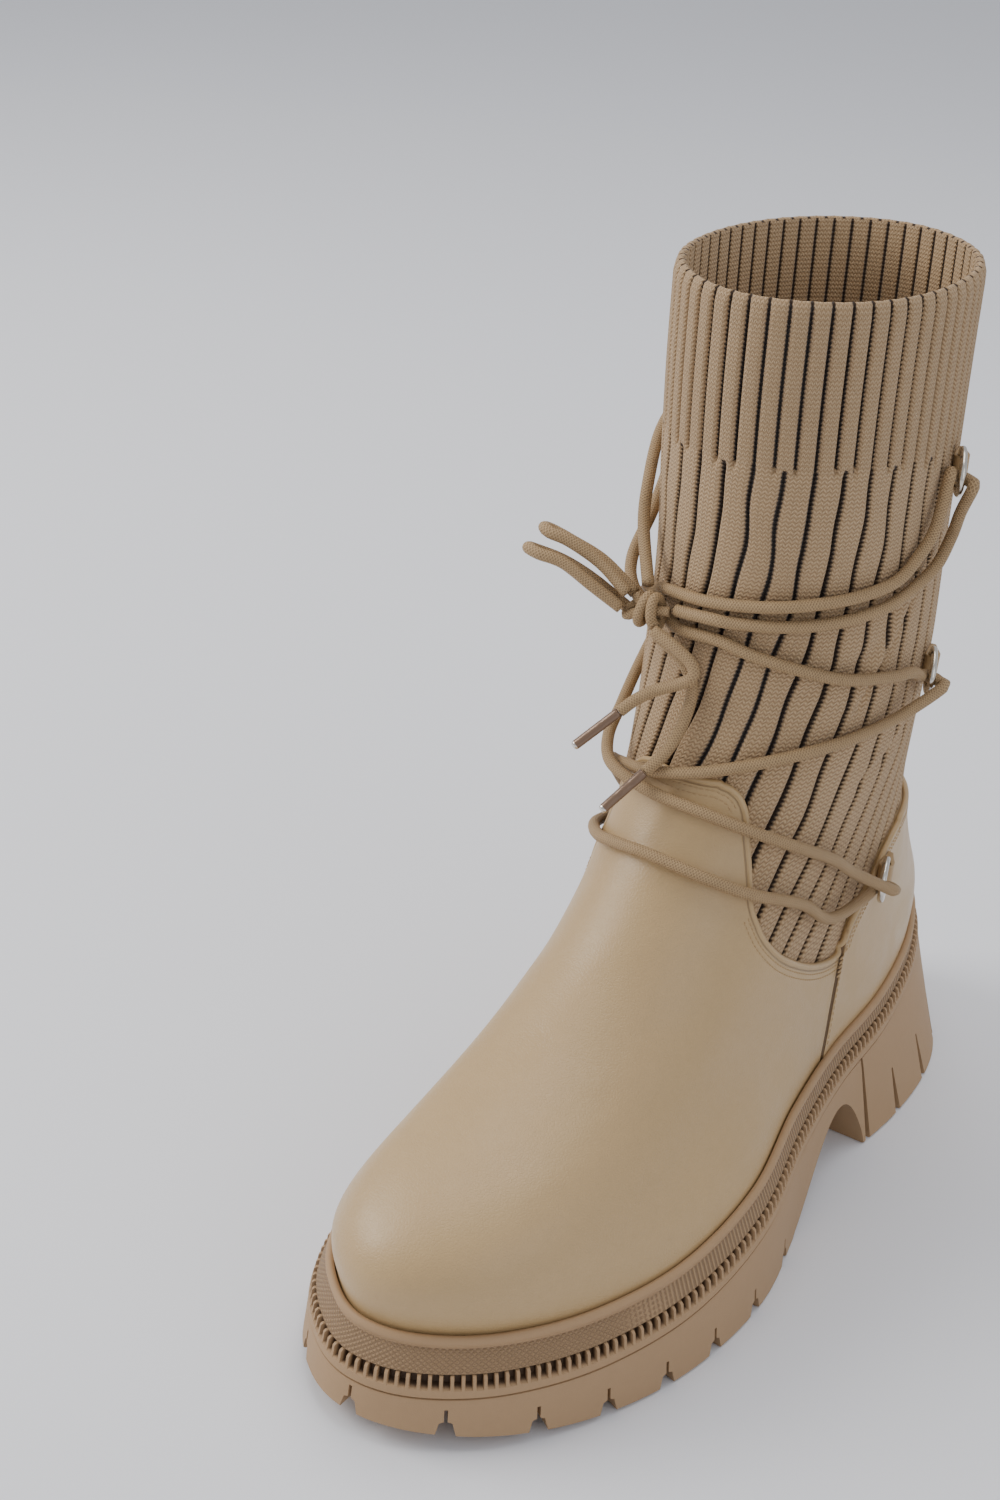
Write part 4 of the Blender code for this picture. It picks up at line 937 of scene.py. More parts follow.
knitLevel, knitTurn, ribBase = knitGrid()
knitLowPhase = ribBase * ribs["low"]
knitHighPhase = ribBase * ribs["high"]
spot = wallPoint(knitLevel, knitTurn)
degrees = np.abs(np.degrees(knitTurn))
change = ribs["change"] - 0.0045 * np.clip((degrees - 62) / 40, 0, 1)
high = np.clip((spot[..., 2] - change) / (0.9 * mm) + 0.5, 0, 1)
relief = (1 - high) * ribRelief(knitLowPhase, 7.6 * mm)[None, :] + high * ribRelief(knitHighPhase, 5.1 * mm)[None, :]
collarFade = np.clip((spot[..., 2] - 0.2472) / (2.4 * mm), 0, 1)
relief = relief * (1 - 0.6 * collarFade) - 0.5 * mm * collarFade ** 2

# folds of the sock: two ends as (turn, height), depth and width
folds = [
    ((92, 178), (64, 143), 2.3, 3.0), ((70, 160), (40, 150), 0.8, 4.0), ((-92, 172), (-62, 146), 1.6, 3.4),
    ((104, 128), (78, 118), 0.8, 3.6), ((-104, 128), (-78, 118), 0.8, 3.6), ((150, 122), (190, 120), 1.0, 4.5),
    ((-20, 150), (22, 140), 0.6, 4.0), ((130, 150), (165, 146), 0.7, 4.0), ((-130, 150), (-165, 146), 0.7, 4.0),
]
for (turnA, heightA), (turnB, heightB), depth, wide in folds:
    ends = []
    for turnAt, heightAt in ((turnA, heightA), (turnB, heightB)):
        turnAt = math.radians(turnAt if turnAt <= 180 else turnAt - 360)
        ends.append(wallPoint(levelAt(turnAt, heightAt * mm), turnAt))
    a, b = ends
    span = b - a
    t = np.clip(((spot - a) @ span) / span.dot(span), 0, 1)
    nearest = a + t[..., None] * span
    off = spot - nearest
    dist = np.linalg.norm(off, axis=-1) / mm
    above = off[..., 2] > 0
    fade = np.sin(math.pi * np.clip(t * 0.96 + 0.02, 0, 1)) ** 0.5
    relief -= depth * mm * fade * np.exp(-(dist / (wide * 0.5)) ** 2)
    relief += 0.55 * depth * mm * fade * np.where(above, np.exp(-((dist - wide) / (wide * 0.8)) ** 2), 0)

knitOuter = spot + wallNormal(knitLevel, knitTurn) * (knitFace + relief)[..., None]
innerPick = np.round(np.linspace(ribs["rows"] - 1, 0, 12)).astype(int)
innerRelief = np.where(high > 0.5, ribRelief(knitHighPhase + 0.5, 5.1 * mm)[None, :],
                       ribRelief(knitLowPhase + 0.5, 7.6 * mm)[None, :])[innerPick] * -0.35
knitInner = onWall(knitLevel[innerPick], knitTurn[innerPick],
                   knitFace - last["knit"] + innerRelief)
rim = 0.5 * (knitOuter[-1] + knitInner[0]) + np.array((0, 0, 0.45 * mm))
knitPoints = np.concatenate([knitOuter, rim[None], knitInner])
knitRows = len(knitPoints)
outerRows = ribs["rows"]
upperFace = np.zeros((knitRows, ribs["columns"]), bool)
upperFace[:outerRows] = high > 0.5
upperFace[outerRows] = True
upperFace[outerRows + 1:] = (high > 0.5)[innerPick]
knitTall = knitPoints[..., 2] / ribs["row"]


def ribUv(r, c):
    r2 = (r + 1) % knitRows
    isHigh = upperFace[r, c] & upperFace[r2, c]
    count = np.where(isHigh, ribs["high"], ribs["low"])
    inner = r > outerRows
    u0 = c / ribs["columns"] * count + np.where(inner, 0.5, 0.0)
    u1 = (c + 1) / ribs["columns"] * count + np.where(inner, 0.5, 0.0)
    c2 = (c + 1) % ribs["columns"]
    corners = ((u0, knitTall[r, c]), (u1, knitTall[r, c2]), (u1, knitTall[r2, c2]), (u0, knitTall[r2, c]))
    return np.stack([np.stack(pair, -1) for pair in corners], 1)


knitShaft = gridPiece("knitShaft", knitPoints, [tanKnit], oneLook, {"rib": ribUv}, True, 80)
finishPiece(knitShaft, ["shaft"])
print("knitted shaft ready")


# ---- welt, band of fins and sole -------------------------------------------------------

side = {
    "beadTall": 2.3 * mm, "beadOut": 2.5 * mm, "outHeel": 3.5 * mm, "outToe": 5.9 * mm,
    "dropHeel": 6.8 * mm, "dropToe": 11.9 * mm, "finHeel": 2.7 * mm, "finToe": 3.2 * mm,
    "finDeep": 1.7 * mm, "finPitch": 2.65 * mm, "lip": 0.7 * mm, "ledge": 2.7 * mm,
}
around = 480


def fromHeel(what, share):
    # a size that changes evenly from the heel to the toe
    return side[what + "Heel"] + (side[what + "Toe"] - side[what + "Heel"]) * share


ringTurn = np.linspace(-math.pi, math.pi, around, endpoint=False)
ringShare = toeShare(ringTurn)
ledgeOut = fromHeel("out", ringShare)
ledgeDrop = fromHeel("drop", ringShare)
finTall = fromHeel("fin", ringShare)
randDrop = ledgeDrop - finTall
randOut = ledgeOut - 0.7 * side["finDeep"]
seat = seatHeight(ringTurn)


def ringRow(out, drop):
    return soleEdge(ringTurn, out, seat - drop)


beadProfile = [
    (0.12, 0.75), (0.14, 0.35), (0.20, 0.14), (0.35, 0.04), (0.55, 0.0), (0.74, 0.07), (0.90, 0.24),
    (0.99, 0.47), (1.0, 0.70), (0.93, 0.92), (0.84, 1.04), (0.80, 1.12), (0.82, 1.20),
]                                                # out and down, as shares of the bead
weltRows = [ringRow(a * side["beadOut"], b * side["beadTall"]) for a, b in beadProfile]
fromOut = 0.84 * side["beadOut"]
fromDrop = 1.26 * side["beadTall"]
for share in np.linspace(0.0, 1.0, 9):
    weltRows.append(ringRow(fromOut + (randOut - fromOut) * share, fromDrop + (randDrop - fromDrop) * share))
weltRows.append(ringRow(randOut - 0.5 * mm, randDrop + 0.15 * mm))
weltRows.append(ringRow(last["gap"], randDrop))
weltPoints = np.array(weltRows)
ringGap = np.linalg.norm(np.roll(weltPoints[-3], -1, 0) - weltPoints[-3], axis=1)
ringRun = np.concatenate([[0.0], np.cumsum(ringGap)]) / mm
ringRun *= 1.32 * round(ringRun[-1] / 1.32) / ringRun[-1]
s = np.tile(ringRun, (len(weltRows), 1))
h = np.zeros(s.shape)
first = len(beadProfile)
for k in range(9):
    far = np.linalg.norm(weltPoints[first + k] - weltPoints[first], axis=1) / mm
    h[first + k] = wrapped(far[None])[0] + 4.0
weltBead = gridPiece("weltBead", weltPoints, [randRubber], oneLook,
                     {"band": quadUv(s, h, len(weltRows))}, True, 40)
finishPiece(weltBead, ["welt"])

# Band of fins: floor and tops of the fins alternate along the ledge
fineTurn = np.linspace(-math.pi, math.pi, 1601)
run = runLength(soleEdge(fineTurn, fromHeel("out", toeShare(fineTurn)), 0.0))
finCount = round(run[-1] / side["finPitch"])
finShape = [(0.00, 0.0), (0.30, 0.0), (0.40, 1.0), (0.92, 1.0)]      # share of the pitch, sunk or not
marks = np.array([(i + a) / finCount for i in range(finCount) for a, b in finShape])
sunk = np.array([b for i in range(finCount) for a, b in finShape])
finTurn = np.interp(marks * run[-1], run, fineTurn)
share = toeShare(finTurn)
outAt = fromHeel("out", share)
dropAt = fromHeel("drop", share)
tallAt = fromHeel("fin", share)
seatAt = seatHeight(finTurn)
deep = side["finDeep"] + 0.7 * mm
topDrop = dropAt - tallAt + last["gap"]


def finRow(out, drop):
    return soleEdge(finTurn, out, seatAt - drop)


plugTop = finRow(-0.2 * mm, np.full(len(finTurn), 3.0 * mm))
finRows = [
    plugTop,
    finRow(-0.2 * mm, topDrop),
    finRow(outAt - deep, topDrop),
    finRow(outAt - 0.75 * mm - (deep - 0.75 * mm) * sunk, topDrop),
    finRow(outAt - 0.2 * mm - (deep - 0.2 * mm) * sunk, topDrop + 0.5 * mm),
    finRow(outAt + 0.1 * mm - (deep - 0.25 * mm) * sunk, dropAt - 0.3 * mm),
    finRow(outAt + 0.25 * mm - 0.75 * mm * sunk, dropAt + 0.1 * mm),
    finRow(outAt + 0.45 * mm, dropAt + 0.45 * mm),
    finRow(outAt + side["lip"], dropAt + side["ledge"] - 0.35 * mm),
    finRow(outAt + side["lip"] - 0.25 * mm, dropAt + side["ledge"]),
    finRow(-6.0 * mm, dropAt + side["ledge"]),
]
finPoints = np.array(finRows)
# pocket sets where the band of fins gets painted shade, mostly in the sunk pockets between the fins
pocket = np.zeros(finPoints.shape[:2])
pocket[2:6] = sunk
pocket[1] = 1.0
pocket[6] = 0.45 * sunk
finBand = gridPiece("finBand", finPoints, [toothRubber], oneLook,
                    {"band": quadUv(wrapped(pocket), wrapped(pocket * 0), len(finRows))}, False, 30)
fillEnds(finBand, split=True)
finishPiece(finBand, ["midsole"])
print("welt and fins ready")

block = {
    "fore": 7.7 * mm, "waist": 6.7 * mm, "heel": 15.0 * mm, "back": 10.0 * mm, "spring": 4.4 * mm,
    "springFrom": 0.22, "arch": 19.0 * mm, "lugDeep": 15.0 * mm, "slotTall": 7.5 * mm,
    "slotWide": 5.2 * mm, "heelTall": 14.0 * mm, "heelWide": 3.0 * mm, "breastTall": 31.0 * mm,
    "tip": 0.9 * mm, "columns": 240,
}


def floorOut(share):
    heel = 1 - share
    waist = np.exp(-((heel - 0.52) / 0.10) ** 2)
    rise = 1 / (1 + np.exp(-(heel - 0.72) / 0.07))
    base = block["fore"] + (block["heel"] - block["fore"]) * rise
    base = base + (block["back"] - block["heel"]) * np.exp(-((1 - heel) / 0.07) ** 2)
    return base + (block["waist"] - block["fore"]) * waist * (1 - rise)


def floorHeight(y):
    reach = block["springFrom"] * last["long"]
    past = np.maximum(-0.5 * last["long"] + reach + shift.y - y, 0.0) / reach
    return block["spring"] * past * past


blockTurn = np.linspace(-math.pi, math.pi, block["columns"], endpoint=False)


def blockRow(down, inward=0.0, lift=0.0):
    share = toeShare(blockTurn)
    topOut = fromHeel("out", share) + side["lip"]
    out = topOut + (floorOut(share) - topOut) * down - inward
    low = soleEdge(blockTurn, floorOut(share), 0.0)
    drop = fromHeel("drop", share)
    top =seatHeight(blockTurn) - drop - side["ledge"] - last["gap"]
    z = top + (floorHeight(low[:, 1]) - top) * down
    return soleEdge(blockTurn, out, z + lift)


rowsOut = [blockRow(0.0, 6.0 * mm), blockRow(0.0, 0.55 * mm), blockRow(0.0, 0.15 * mm, -0.15 * mm),
           blockRow(0.0, 0.0, -0.6 * mm), blockRow(0.12), blockRow(0.6), blockRow(0.94),
           blockRow(1.0, 0.05 * mm, 0.45 * mm), blockRow(1.0, 0.5 * mm, 0.0), blockRow(1.0, 6.0 * mm, 0.0)]
lugSole = gridPiece("lugSole", np.array(rowsOut), [soleRubber], oneLook, {}, False, 30)
fillEnds(lugSole, split=True, turnOut=True)


def prism(sections, name):
    # closed bodies, each between two outlines of the same count
    verts = []
    faces = []
    for near, far in sections:
        start = len(verts)
        count = len(near)
        verts += list(near) + list(far)
        faces.append(tuple(range(start, start + count)))
        faces.append(tuple(range(start + 2 * count - 1, start + count - 1, -1)))
        for i in range(count):
            j = (i + 1) % count
            faces.append((start + i, start + count + i, start + count + j, start + j))
    mesh = bpy.data.meshes.new(name)
    mesh.from_pydata([tuple(map(float, v)) for v in verts], [], faces)
    mesh.materials.append(soleRubber)
    piece = bpy.data.objects.new(name, mesh)
    bpy.context.scene.collection.objects.link(piece)
    bm = bmesh.new()
    bm.from_mesh(mesh)
    bmesh.ops.recalc_face_normals(bm, faces=bm.faces)
    bm.to_mesh(mesh)
    bm.free()
    return piece


def carve(piece, tool):
    cut = piece.modifiers.new("cut", "BOOLEAN")
    cut.operation = "DIFFERENCE"
    cut.solver = "EXACT"
    cut.object = tool
    applyAll(piece)
    bpy.data.objects.remove(tool, do_unlink=True)


archFrom = -0.026 * last["long"] + shift.y
archTo = 0.182 * last["long"] + shift.y
archSide = [(-0.01, -0.30), (0.02, 0.02), (0.14, 0.17), (0.29, 0.46), (0.44, 0.75), (0.58, 0.94),
            (0.70, 1.00), (0.80, 0.94), (0.88, 0.76), (0.94, 0.48), (0.98, 0.16), (1.00, -0.30)]
archLine = smoothLine([(0.0, archFrom + (archTo - archFrom) * a, block["arch"] * b) for a, b in archSide], 1.5 * mm)
carve(lugSole, prism([(archLine + np.array((-0.1, 0, 0)), archLine + np.array((0.1, 0, 0)))], "archCut"))


def turnAtRun(distance, way):
    turns = np.linspace(0.0, math.pi, 1601) * way
    spots = soleEdge(turns, floorOut(toeShare(turns)), 0.0)
    gone = np.concatenate([[0.0], np.cumsum(np.linalg.norm(np.diff(spots, axis=0), axis=1))])
    return float(np.interp(distance, gone, turns))


def turnAtY(y, way):
    turns = np.linspace(0.0, math.pi, 1601) * way
    spots = soleEdge(turns, floorOut(toeShare(turns)), 0.0)
    return float(np.interp(y, spots[:, 1], turns))


def slotBody(turn, tall, wide, notched):
    share = toeShare(turn)
    spot = soleEdge(turn, floorOut(share), 0.0)
    foot = float(floorHeight(spot[1]))
    out = soleEdge(turn, 0.01, 0.0) - soleEdge(turn, 0.0, 0.0)
    out /= np.linalg.norm(out)
    aside = np.array((-out[1], out[0], 0.0))
    up = np.array((0.0, 0.0, 1.0))
    tip = block["tip"]
    if notched:
        shape = [(0.5 * wide * 1.25, -0.35), (0.5 * wide, 0.0), (0.5 * wide * 0.62, 0.50), (0.5 * tip, 0.56),
                 (0.5 * tip, 1.0)]
    else:
        flare = (wide - tip) / tall
        shape = [(0.5 * (wide + flare * 3 * mm), -3 * mm / tall), (0.5 * tip, 1.0)]
    shape = shape + [(-a, b) for a, b in reversed(shape)]
    section = np.array([spot + aside * a + up * (foot + tall * b) for a, b in shape])
    return section - out * block["lugDeep"], section + out * 0.012


bodies = []
for place in (0.0, 0.096, 0.186, 0.262, 0.335, 0.407, 0.483, 0.573):
    for way in ((1,) if place == 0 else (1, -1)):
        bodies.append(slotBody(turnAtRun(place * last["long"], way), block["slotTall"], block["slotWide"], True))
for place, tall, wide in ((0.689, block["breastTall"], 0.8 * block["heelWide"]),
                          (0.761, block["heelTall"], block["heelWide"]),
                          (0.844, block["heelTall"], block["heelWide"]),
                          (0.929, block["heelTall"], block["heelWide"])):
    for way in (1, -1):
        bodies.append(slotBody(turnAtY((place - 0.5) * last["long"] + shift.y, way), tall, wide, False))
carve(lugSole, prism(bodies, "slotCuts"))

# shallow chevrons of the tread between the side lugs
treads = []
for y, wide, tall in ((-98, 24, 2.0), (-78, 34, 2.0), (-60, 38, 2.0), (-42, 38, 2.0), (-24, 32, 2.0),
                      (62, 22, 2.0), (82, 20, 2.0), (100, 14, 2.0)):
    foot = float(floorHeight(np.array(y * mm)))
    line = [(-wide, 1.6), (0, -3.4), (wide, 1.6), (wide, 4.4), (0, -0.6), (-wide, 4.4)]
    flatLow = np.array([(a * mm * 0.5 + shift.x, (y + b) * mm, -0.004) for a, b in line])
    flatTop = flatLow.copy()
    flatTop[:, 2] = foot + tall * mm
    treads.append((flatLow, flatTop))
carve(lugSole, prism(treads, "treadCuts"))
lugSole.data.materials.clear()
lugSole.data.materials.append(soleRubber)
lugSole.data.polygons.foreach_set("material_index", np.zeros(len(lugSole.data.polygons), np.int32))
lugSole.data.shade_smooth()
lugSole.data.set_sharp_from_angle(angle=math.radians(32))
finishPiece(lugSole, ["outsole"], False)

# Insole with a softened top edge
boardTurn = np.linspace(-math.pi, math.pi, 160, endpoint=False)
boardSeat = seatHeight(boardTurn)
boardIn = -last["leather"] - last["gap"]
boardRows = [
    soleEdge(boardTurn, boardIn - 5 * mm, boardSeat - 2.7 * mm), soleEdge(boardTurn, boardIn, boardSeat - 2.7 * mm),
    soleEdge(boardTurn, boardIn, boardSeat - 1.0 * mm), soleEdge(boardTurn, boardIn - 0.5 * mm, boardSeat - 0.6 * mm),
    soleEdge(boardTurn, boardIn - 5 * mm, boardSeat - 0.5 * mm),
]
insoleBoard = gridPiece("insoleBoard", np.array(boardRows), [liningCloth], oneLook, {}, False, 50)
bm = bmesh.new()
bm.from_mesh(insoleBoard.data)
bmesh.ops.holes_fill(bm, edges=[e for e in bm.edges if e.is_boundary], sides=0)
bmesh.ops.triangulate(bm, faces=[f for f in bm.faces if len(f.verts) > 4])
bm.to_mesh(insoleBoard.data)
bm.free()
finishPiece(insoleBoard, ["insole"])
print("sole ready")


# ---- rings and tabs --------------------------------------------------------------------

hold = {"tall": 13.0 * mm, "deep": 9.5 * mm, "wire": 1.9 * mm, "tilt": 16.0, "tabWide": 7.4 * mm,
        "tabLong": 8.5 * mm, "tabThick": 0.8 * mm}
stations = {
    "outer_low": (1, 0.210, 0.330), "outer_mid": (1, 0.237, 0.576), "outer_top": (1, 0.232, 0.800),
    "inner_low": (-1, 0.196, 0.345), "inner_mid": (-1, 0.222, 0.580), "inner_top": (-1, 0.222, 0.800),
}
ringShape = [(0.00, 0.00), (0.00, 0.34), (0.07, 0.41), (0.30, 0.425), (0.62, 0.36), (0.88, 0.21), (1.00, 0.00),
             (0.88, -0.21), (0.62, -0.36), (0.30, -0.425), (0.07, -0.41), (0.00, -0.34)]
ringFrames = {}
for name, (way, runShare, tallShare) in stations.items():
    turns = np.linspace(0.15, math.pi - 0.15, 400) * way
    height = tallShare * last["tall"]
    across = wallPoint(levelAt(turns, height), turns)[:, 1]
    turn = float(np.interp(runShare * last["long"] + shift.y, across, turns))
    level = float(levelAt(turn, height))
    out = Vector(wallNormal(level, turn))
    base = last["step"] if name.endswith("low") else knitFace
    foot = Vector(wallPoint(level, turn)) + out * base
    up = (Vector((0, 0, 1)) - out * out.z).normalized()
    ahead = out.cross(up).normalized()
    if ahead.y > 0:
        ahead = -ahead
    tabRound = 0.5 * hold["wire"] + last["gap"] + hold["tabThick"]
    bar = foot + out * (last["gap"] + tabRound)
    lean = math.radians(hold["tilt"])
    tilted = ahead * math.cos(lean) + out * math.sin(lean)
    face = out * math.cos(lean) - ahead * math.sin(lean)
    ringFrames[name] = (bar, tilted, up, face)
    path = smoothLine([bar + tilted * a * hold["deep"] + up * b * hold["tall"] for a, b in ringShape], 0.8 * mm, True)
    ring = tubeMesh("ring_" + name + "_metal", path, 0.5 * hold["wire"], ringMetal, 16, True)
    finishPiece(ring, ["ring_" + name])

    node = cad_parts["tab_" + name]
    tabPiece = bpy.data.objects.new("tab_" + name + "_leather", node.data.copy())
    bpy.context.scene.collection.objects.link(tabPiece)
    bm = bmesh.new()
    bm.from_mesh(tabPiece.data)
    bmesh.ops.remove_doubles(bm, verts=bm.verts, dist=0.00002)
    bmesh.ops.dissolve_limit(bm, angle_limit=math.radians(2), verts=bm.verts, edges=bm.edges)
    bm.to_mesh(tabPiece.data)
    bm.free()
    rounding = tabPiece.modifiers.new("round", "BEVEL")
    rounding.width = 0.28 * mm
    rounding.segments = 3
    rounding.limit_method = "ANGLE"
    rounding.angle_limit = math.radians(50)
    applyAll(tabPiece)
    tabPiece.data.materials.clear()
    tabPiece.data.materials.append(tabLeather)
    tabPiece.data.polygons.foreach_set("material_index", np.zeros(len(tabPiece.data.polygons), np.int32))
    tabPiece.data.shade_smooth()
    tabPiece.data.set_sharp_from_angle(angle=math.radians(50))
    finishPiece(tabPiece, ["tab_" + name], False)

    rows = []
    for end in (-0.36, 0.36):
        a = bar - ahead * (0.36 * hold["tabLong"]) + up * end * hold["tabWide"] + out * (0.22 * tabRound)
        b = bar - ahead * (0.66 * hold["tabLong"] + 0.35 * tabRound) + up * end * hold["tabWide"] - out * (0.22 * tabRound)
        rows.append((np.linspace(a, b, 6), np.tile(out, (6, 1))))
    stitchRow("tabStitches_" + name, rows, 1.2 * mm, 0.95 * mm, 0.4 * mm)
print("rings and tabs ready")


# ---- lace ------------------------------------------------------------------------------

laceWide = 3.2 * mm
knotTurn = math.radians(-22.0)
knotLevel = float(levelAt(knotTurn, 0.664 * last["tall"]))
knotSpot = Vector(onWall(knotLevel, knotTurn, np.array(6.6 * mm)))
passes = {
    "rightOfKnot": [(2, 0.676, 0.75), (10, 0.675, 0.45), (27, 0.676, 0.30), (44, 0.679, 0.30), (58, 0.684, 0.35),
                    (71, 0.691, 0.40), (88, 0.709, 0.60), (97, 0.735, 0.80), (97, 0.765, 1.30)],
    "crossTop": [(86, 0.757, 0.55), (80, 0.731, 0.25), (69, 0.712, 0.28), (53, 0.7045, 0.24), (37, 0.700, 0.24),
                 (21, 0.6955, 0.24), (-1, 0.690, 0.24), (-26, 0.680, 0.24), (-44, 0.656, 0.24),
                 (-62, 0.628, 0.28), (-80, 0.602, 0.4)],
    "crossLowA": [(-84, 0.564, 0.6), (-66, 0.540, 0.35), (-52, 0.520, 0.80), (-40, 0.500, 1.75), (-28, 0.487, 1.90),
                  (-8, 0.4845, 1.10), (14, 0.480, 0.85), (35, 0.464, 0.70), (57, 0.439, 0.66), (77, 0.408, 0.70),
                  (93, 0.374, 1.0)],
    "barLow": [(92, 0.334, 0.75), (71, 0.3745, 0.66), (46, 0.403, 0.66), (25, 0.422, 0.82), (2, 0.4325, 0.95),
               (-17, 0.4285, 0.88), (-34, 0.418, 0.74), (-56, 0.402, 0.66), (-80, 0.378, 0.70)],
    "crossLowB": [(-84, 0.394, 0.8), (-66, 0.437, 0.66), (-50, 0.468, 0.70), (-36, 0.484, 0.78), (-16, 0.499, 0.96),
                  (-4, 0.507, 1.00), (9, 0.5165, 0.62), (26, 0.529, 0.26), (44, 0.540, 0.26), (62, 0.546, 0.26),
                  (82, 0.550, 0.50)],
    "crossMid": [(85, 0.597, 0.5), (73, 0.6035, 0.28), (53, 0.6155, 0.24), (35, 0.631, 0.24), (19, 0.643, 0.24),
                 (5, 0.6525, 0.24), (-12, 0.650, 0.24), (-26, 0.654, 0.30), (-38, 0.664, 1.50), (-50, 0.684, 1.50),
                 (-66, 0.722, 0.40), (-82, 0.762, 0.55)],
    "leftOfKnot": [(-86, 0.815, 0.75), (-70, 0.800, 0.40), (-54, 0.765, 0.50), (-44, 0.730, 0.9)],
}                                                # turn, height and lift of the lace's middle


def routeOf(name):
    turn = np.radians([row[0] for row in passes[name]])
    height = np.array([row[1] for row in passes[name]]) * last["tall"]
    lift = np.array([row[2] for row in passes[name]]) * laceWide
    return [Vector(p) for p in onWall(levelAt(turn, height), turn, lift)]


def turnRound(name, drop):
    # half turn of the lace round the front of a ring
    bar, tilted, up, face = ringFrames[name]
    apex = bar + tilted * hold["deep"]
    reach = 0.5 * hold["wire"] + 0.5 * laceWide + 2 * last["gap"]
    points = []
    for angle in (80, 125, 180, 235, 280):
        a = math.radians(angle)
        points.append(apex + (tilted * math.cos(a) + face * math.sin(a)) * reach + up * drop * (angle - 180) / 100)
    return points


knotRight = knotSpot + Vector((7.2, 1.8, 1.3)) * mm
knotLeft = knotSpot + Vector((-2.0, 2.5, 5.6)) * mm
laceRoute = (
    [knotRight] + routeOf("rightOfKnot") + turnRound("outer_top", 1.2 * mm)
    + routeOf("crossTop") + turnRound("inner_mid", -1.2 * mm)
    + routeOf("crossLowA") + turnRound("outer_low", -1.2 * mm)
    + routeOf("barLow") + turnRound("inner_low", 1.2 * mm)
    + routeOf("crossLowB") + turnRound("outer_mid", 1.2 * mm)
    + routeOf("crossMid") + turnRound("inner_top", 1.2 * mm)
    + routeOf("leftOfKnot") + [knotLeft]
)
lacePath = smoothLine(laceRoute, 1.3 * mm)
laceCord = tubeMesh("laceCord", lacePath, 0.5 * laceWide, tanLace, 14)
finishPiece(laceCord, ["lace"])

freeEnds = {
    "loop_low": [(-6.6, -2.3, -0.5), (-13.5, -5.6, 4.6), (-21.0, -8.0, 9.4), (-27.0, -10.4, 11.0), (-30.6, -9.6, 11.4),
                 (-29.6, -6.6, 10.0), (-23.0, -4.2, 8.2), (-15.5, -1.6, 4.4), (-6.4, 1.7, -2.0)],
    "loop_high": [(-5.7, -1.2, 3.3), (-13.6, -1.6, 9.2), (-21.5, -4.6, 14.0), (-26.4, -6.4, 15.6), (-29.0, -5.2, 16.0),
                  (-28.0, -2.4, 14.6), (-23.2, -0.8, 12.6), (-15.4, 2.4, 8.4), (-5.6, 2.6, 2.2)],
    "end_short": [(4.0, -3.5, -3.3), (10.6, -3.4, -6.0), (15.6, -3.0, -9.4), (16.2, -3.6, -12.6), (12.2, -4.0, -15.6),
                  (7.2, -5.4, -18.2), (3.4, -8.0, -21.0), (0.6, -10.8, -24.2)],
    "end_long": [(2.8, 0.2, -6.0), (9.4, 1.2, -10.4), (13.8, 0.2, -14.6), (15.0, -0.6, -20.0), (14.4, -3.4, -27.4),
                 (12.8, -7.6, -33.4), (10.2, -12.2, -37.6)],
}                                                # from the knot's middle, in millimetres
agletLong = 14.5 * mm
agletWide = 2.6 * mm
for name, offsets in freeEnds.items():
    points = [knotSpot + Vector(p) * mm for p in offsets]
    path = smoothLine(points, 1.2 * mm)
    size = np.full(len(path), 0.5 * laceWide)
    cordPiece = tubeMesh(name + "_cord", path, size, tanLace, 14)
    finishPiece(cordPiece, [name])
    if name.startswith("end"):
        tagName = "aglet_" + name.split("_")[1]
        ahead = Vector(path[-1] - path[-2]).normalized()
        start = Vector(path[-1]) + ahead * last["gap"]
        steps = np.array([0, 0.02, 0.05, 0.30, 0.33, 0.36, 0.60, 0.63, 0.66, 0.90, 0.94, 0.98, 1.0])
        wide = np.array([0.86, 0.97, 1.0, 1.0, 0.95, 1.0, 1.0, 0.96, 1.0, 0.97, 0.97, 0.86, 0.6]) * 0.5 * agletWide
        agletPath = np.array([start + ahead * agletLong * t for t in steps])
        tag = tubeMesh(tagName + "_tip", agletPath, wide, agletBrown, 20)
        tag.data.materials.append(agletTip)
        heart = Vector(agletPath[-1])
        for face in tag.data.polygons:
            if (face.center - heart).length < 1.5 * mm:
                face.material_index = 1
        finishPiece(tag, [tagName])

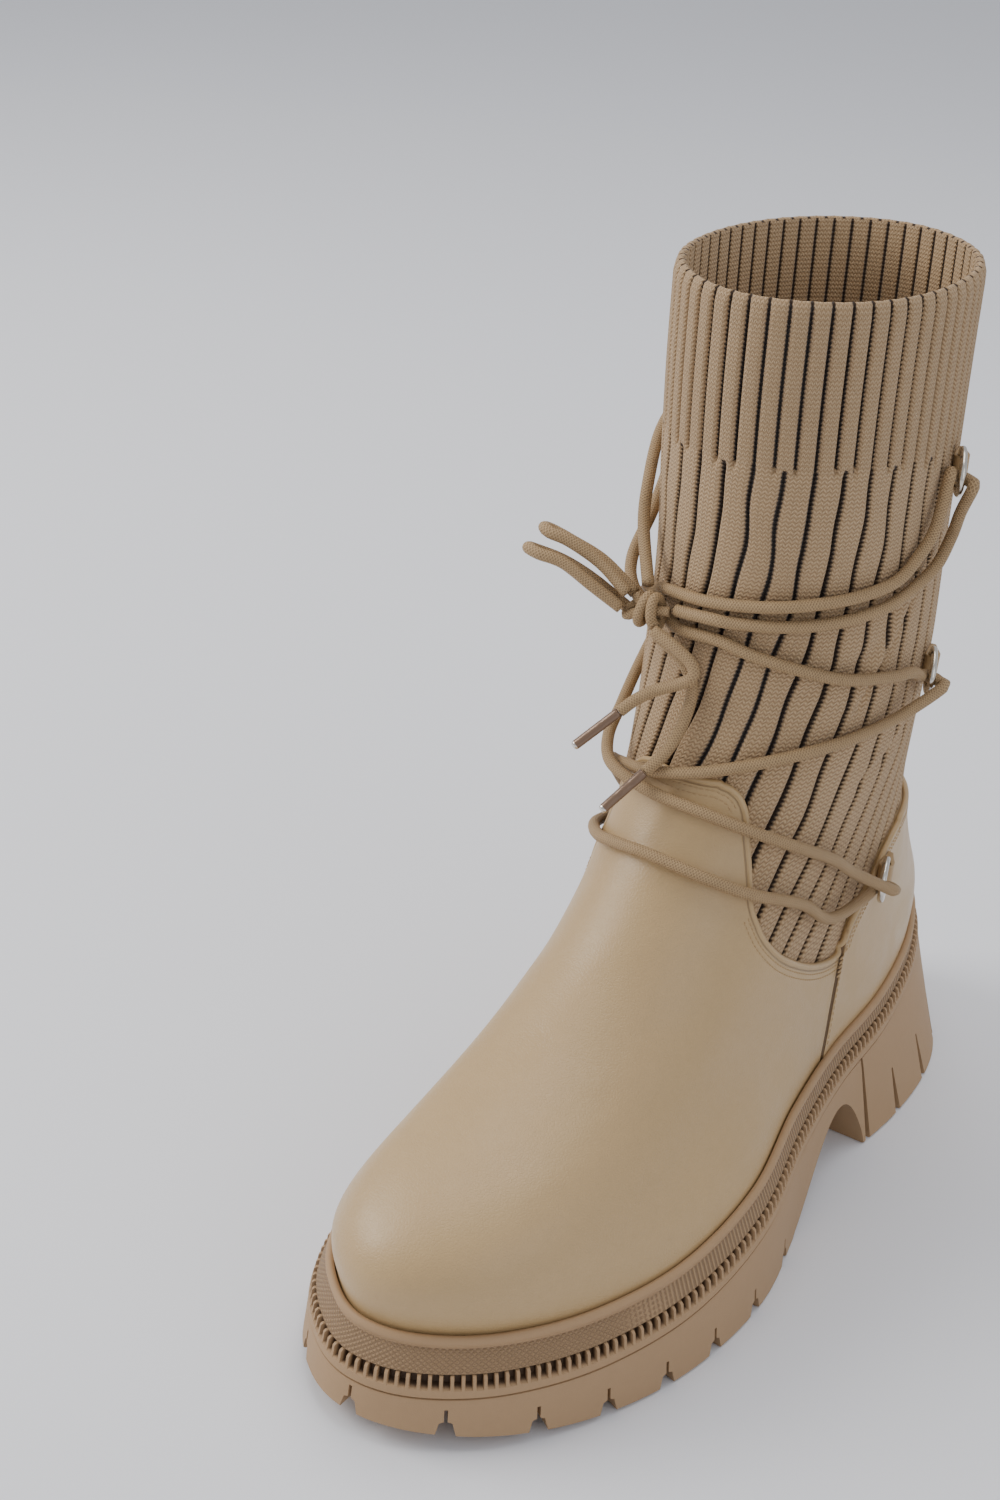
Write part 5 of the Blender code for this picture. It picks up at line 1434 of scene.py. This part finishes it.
# Knot: two turns of the lace wrapped over the crossing, and the bight that they hold
knotBits = []
for aside, tilt in ((-1.0, 0.10), (2.3, -0.06)):
    wrap = []
    for i in range(40):
        a = 2 * math.pi * i / 40
        wrap.append(knotSpot + Vector((aside + 0.9 * math.sin(a) * tilt * 10, 2.55 * math.cos(a) + 0.1,
                                       3.75 * math.sin(a))) * mm)
    knotBits.append(tubeMesh("wrap", smoothLine(wrap, 0.7 * mm, True), 0.44 * laceWide, tanLace, 14, True))
through = [(5.9, 0.6, 0.9), (3.0, -0.1, 0.7), (0.0, -0.4, 0.2), (-3.2, -1.2, -1.4), (-5.2, -1.5, -2.4),
           (-5.5, 0.2, -1.2), (-3.6, 1.3, 0.4), (0.0, 1.0, 0.6), (4.2, 1.3, -0.8)]
knotBits.append(tubeMesh("bight", smoothLine([knotSpot + Vector(p) * mm for p in through], 0.8 * mm),
                         0.40 * laceWide, tanLace, 14))
under = [(3.9, -2.6, -2.6), (1.6, -1.2, -1.2), (-1.5, -0.2, 1.2), (-4.2, 0.8, 2.6)]
knotBits.append(tubeMesh("under", smoothLine([knotSpot + Vector(p) * mm for p in under], 0.8 * mm),
                         0.40 * laceWide, tanLace, 14))
bowKnot = joinPieces(knotBits)
bowKnot.name = "bowKnot"
finishPiece(bowKnot, ["knot"])
print("lace ready")


# ---- floor and light -------------------------------------------------------------------

studio = {"floor": (0.80, 0.80, 0.825), "world": (0.90, 0.93, 1.0), "fill": 0.62}
bpy.ops.mesh.primitive_plane_add(size=6.0, location=(0.0, 0.0, -0.0002))
ground = bpy.context.object
ground.name = "studioFloor"
floorLook, floorTree, floorShader = newFinish("floorPaper", studio["floor"], 0.75)
floorTree.links.new(toned(floorTree, studio["floor"], 3.0, 0.02), floorShader.inputs["Base Color"])
ground.data.materials.append(floorLook)

world = bpy.data.worlds.new("studio")
bpy.context.scene.world = world
world.use_nodes = True
backdrop = world.node_tree.nodes["Background"]
backdrop.inputs["Color"].default_value = (*studio["world"], 1.0)
backdrop.inputs["Strength"].default_value = studio["fill"]


def softLight(name, place, aim, wide, tall, power, colour):
    lamp = bpy.data.lights.new(name, "AREA")
    lamp.shape = "RECTANGLE"
    lamp.size = wide
    lamp.size_y = tall
    lamp.energy = power
    lamp.color = colour
    thing = bpy.data.objects.new(name, lamp)
    bpy.context.scene.collection.objects.link(thing)
    thing.location = place
    thing.rotation_euler = (Vector(aim) - Vector(place)).to_track_quat("-Z", "Y").to_euler()
    return thing


softLight("windowLeft", (-1.15, -0.55, 0.95), (0.0, 0.0, 0.10), 0.9, 0.9, 17.0, (1.0, 0.985, 0.96))
softLight("topSoft", (-0.15, 0.35, 1.55), (0.0, 0.0, 0.08), 1.2, 1.2, 11.0, (1.0, 0.99, 0.98))
softLight("rightFill", (1.25, -0.35, 0.75), (0.0, 0.0, 0.12), 1.0, 1.0, 3.5, (0.95, 0.97, 1.0))
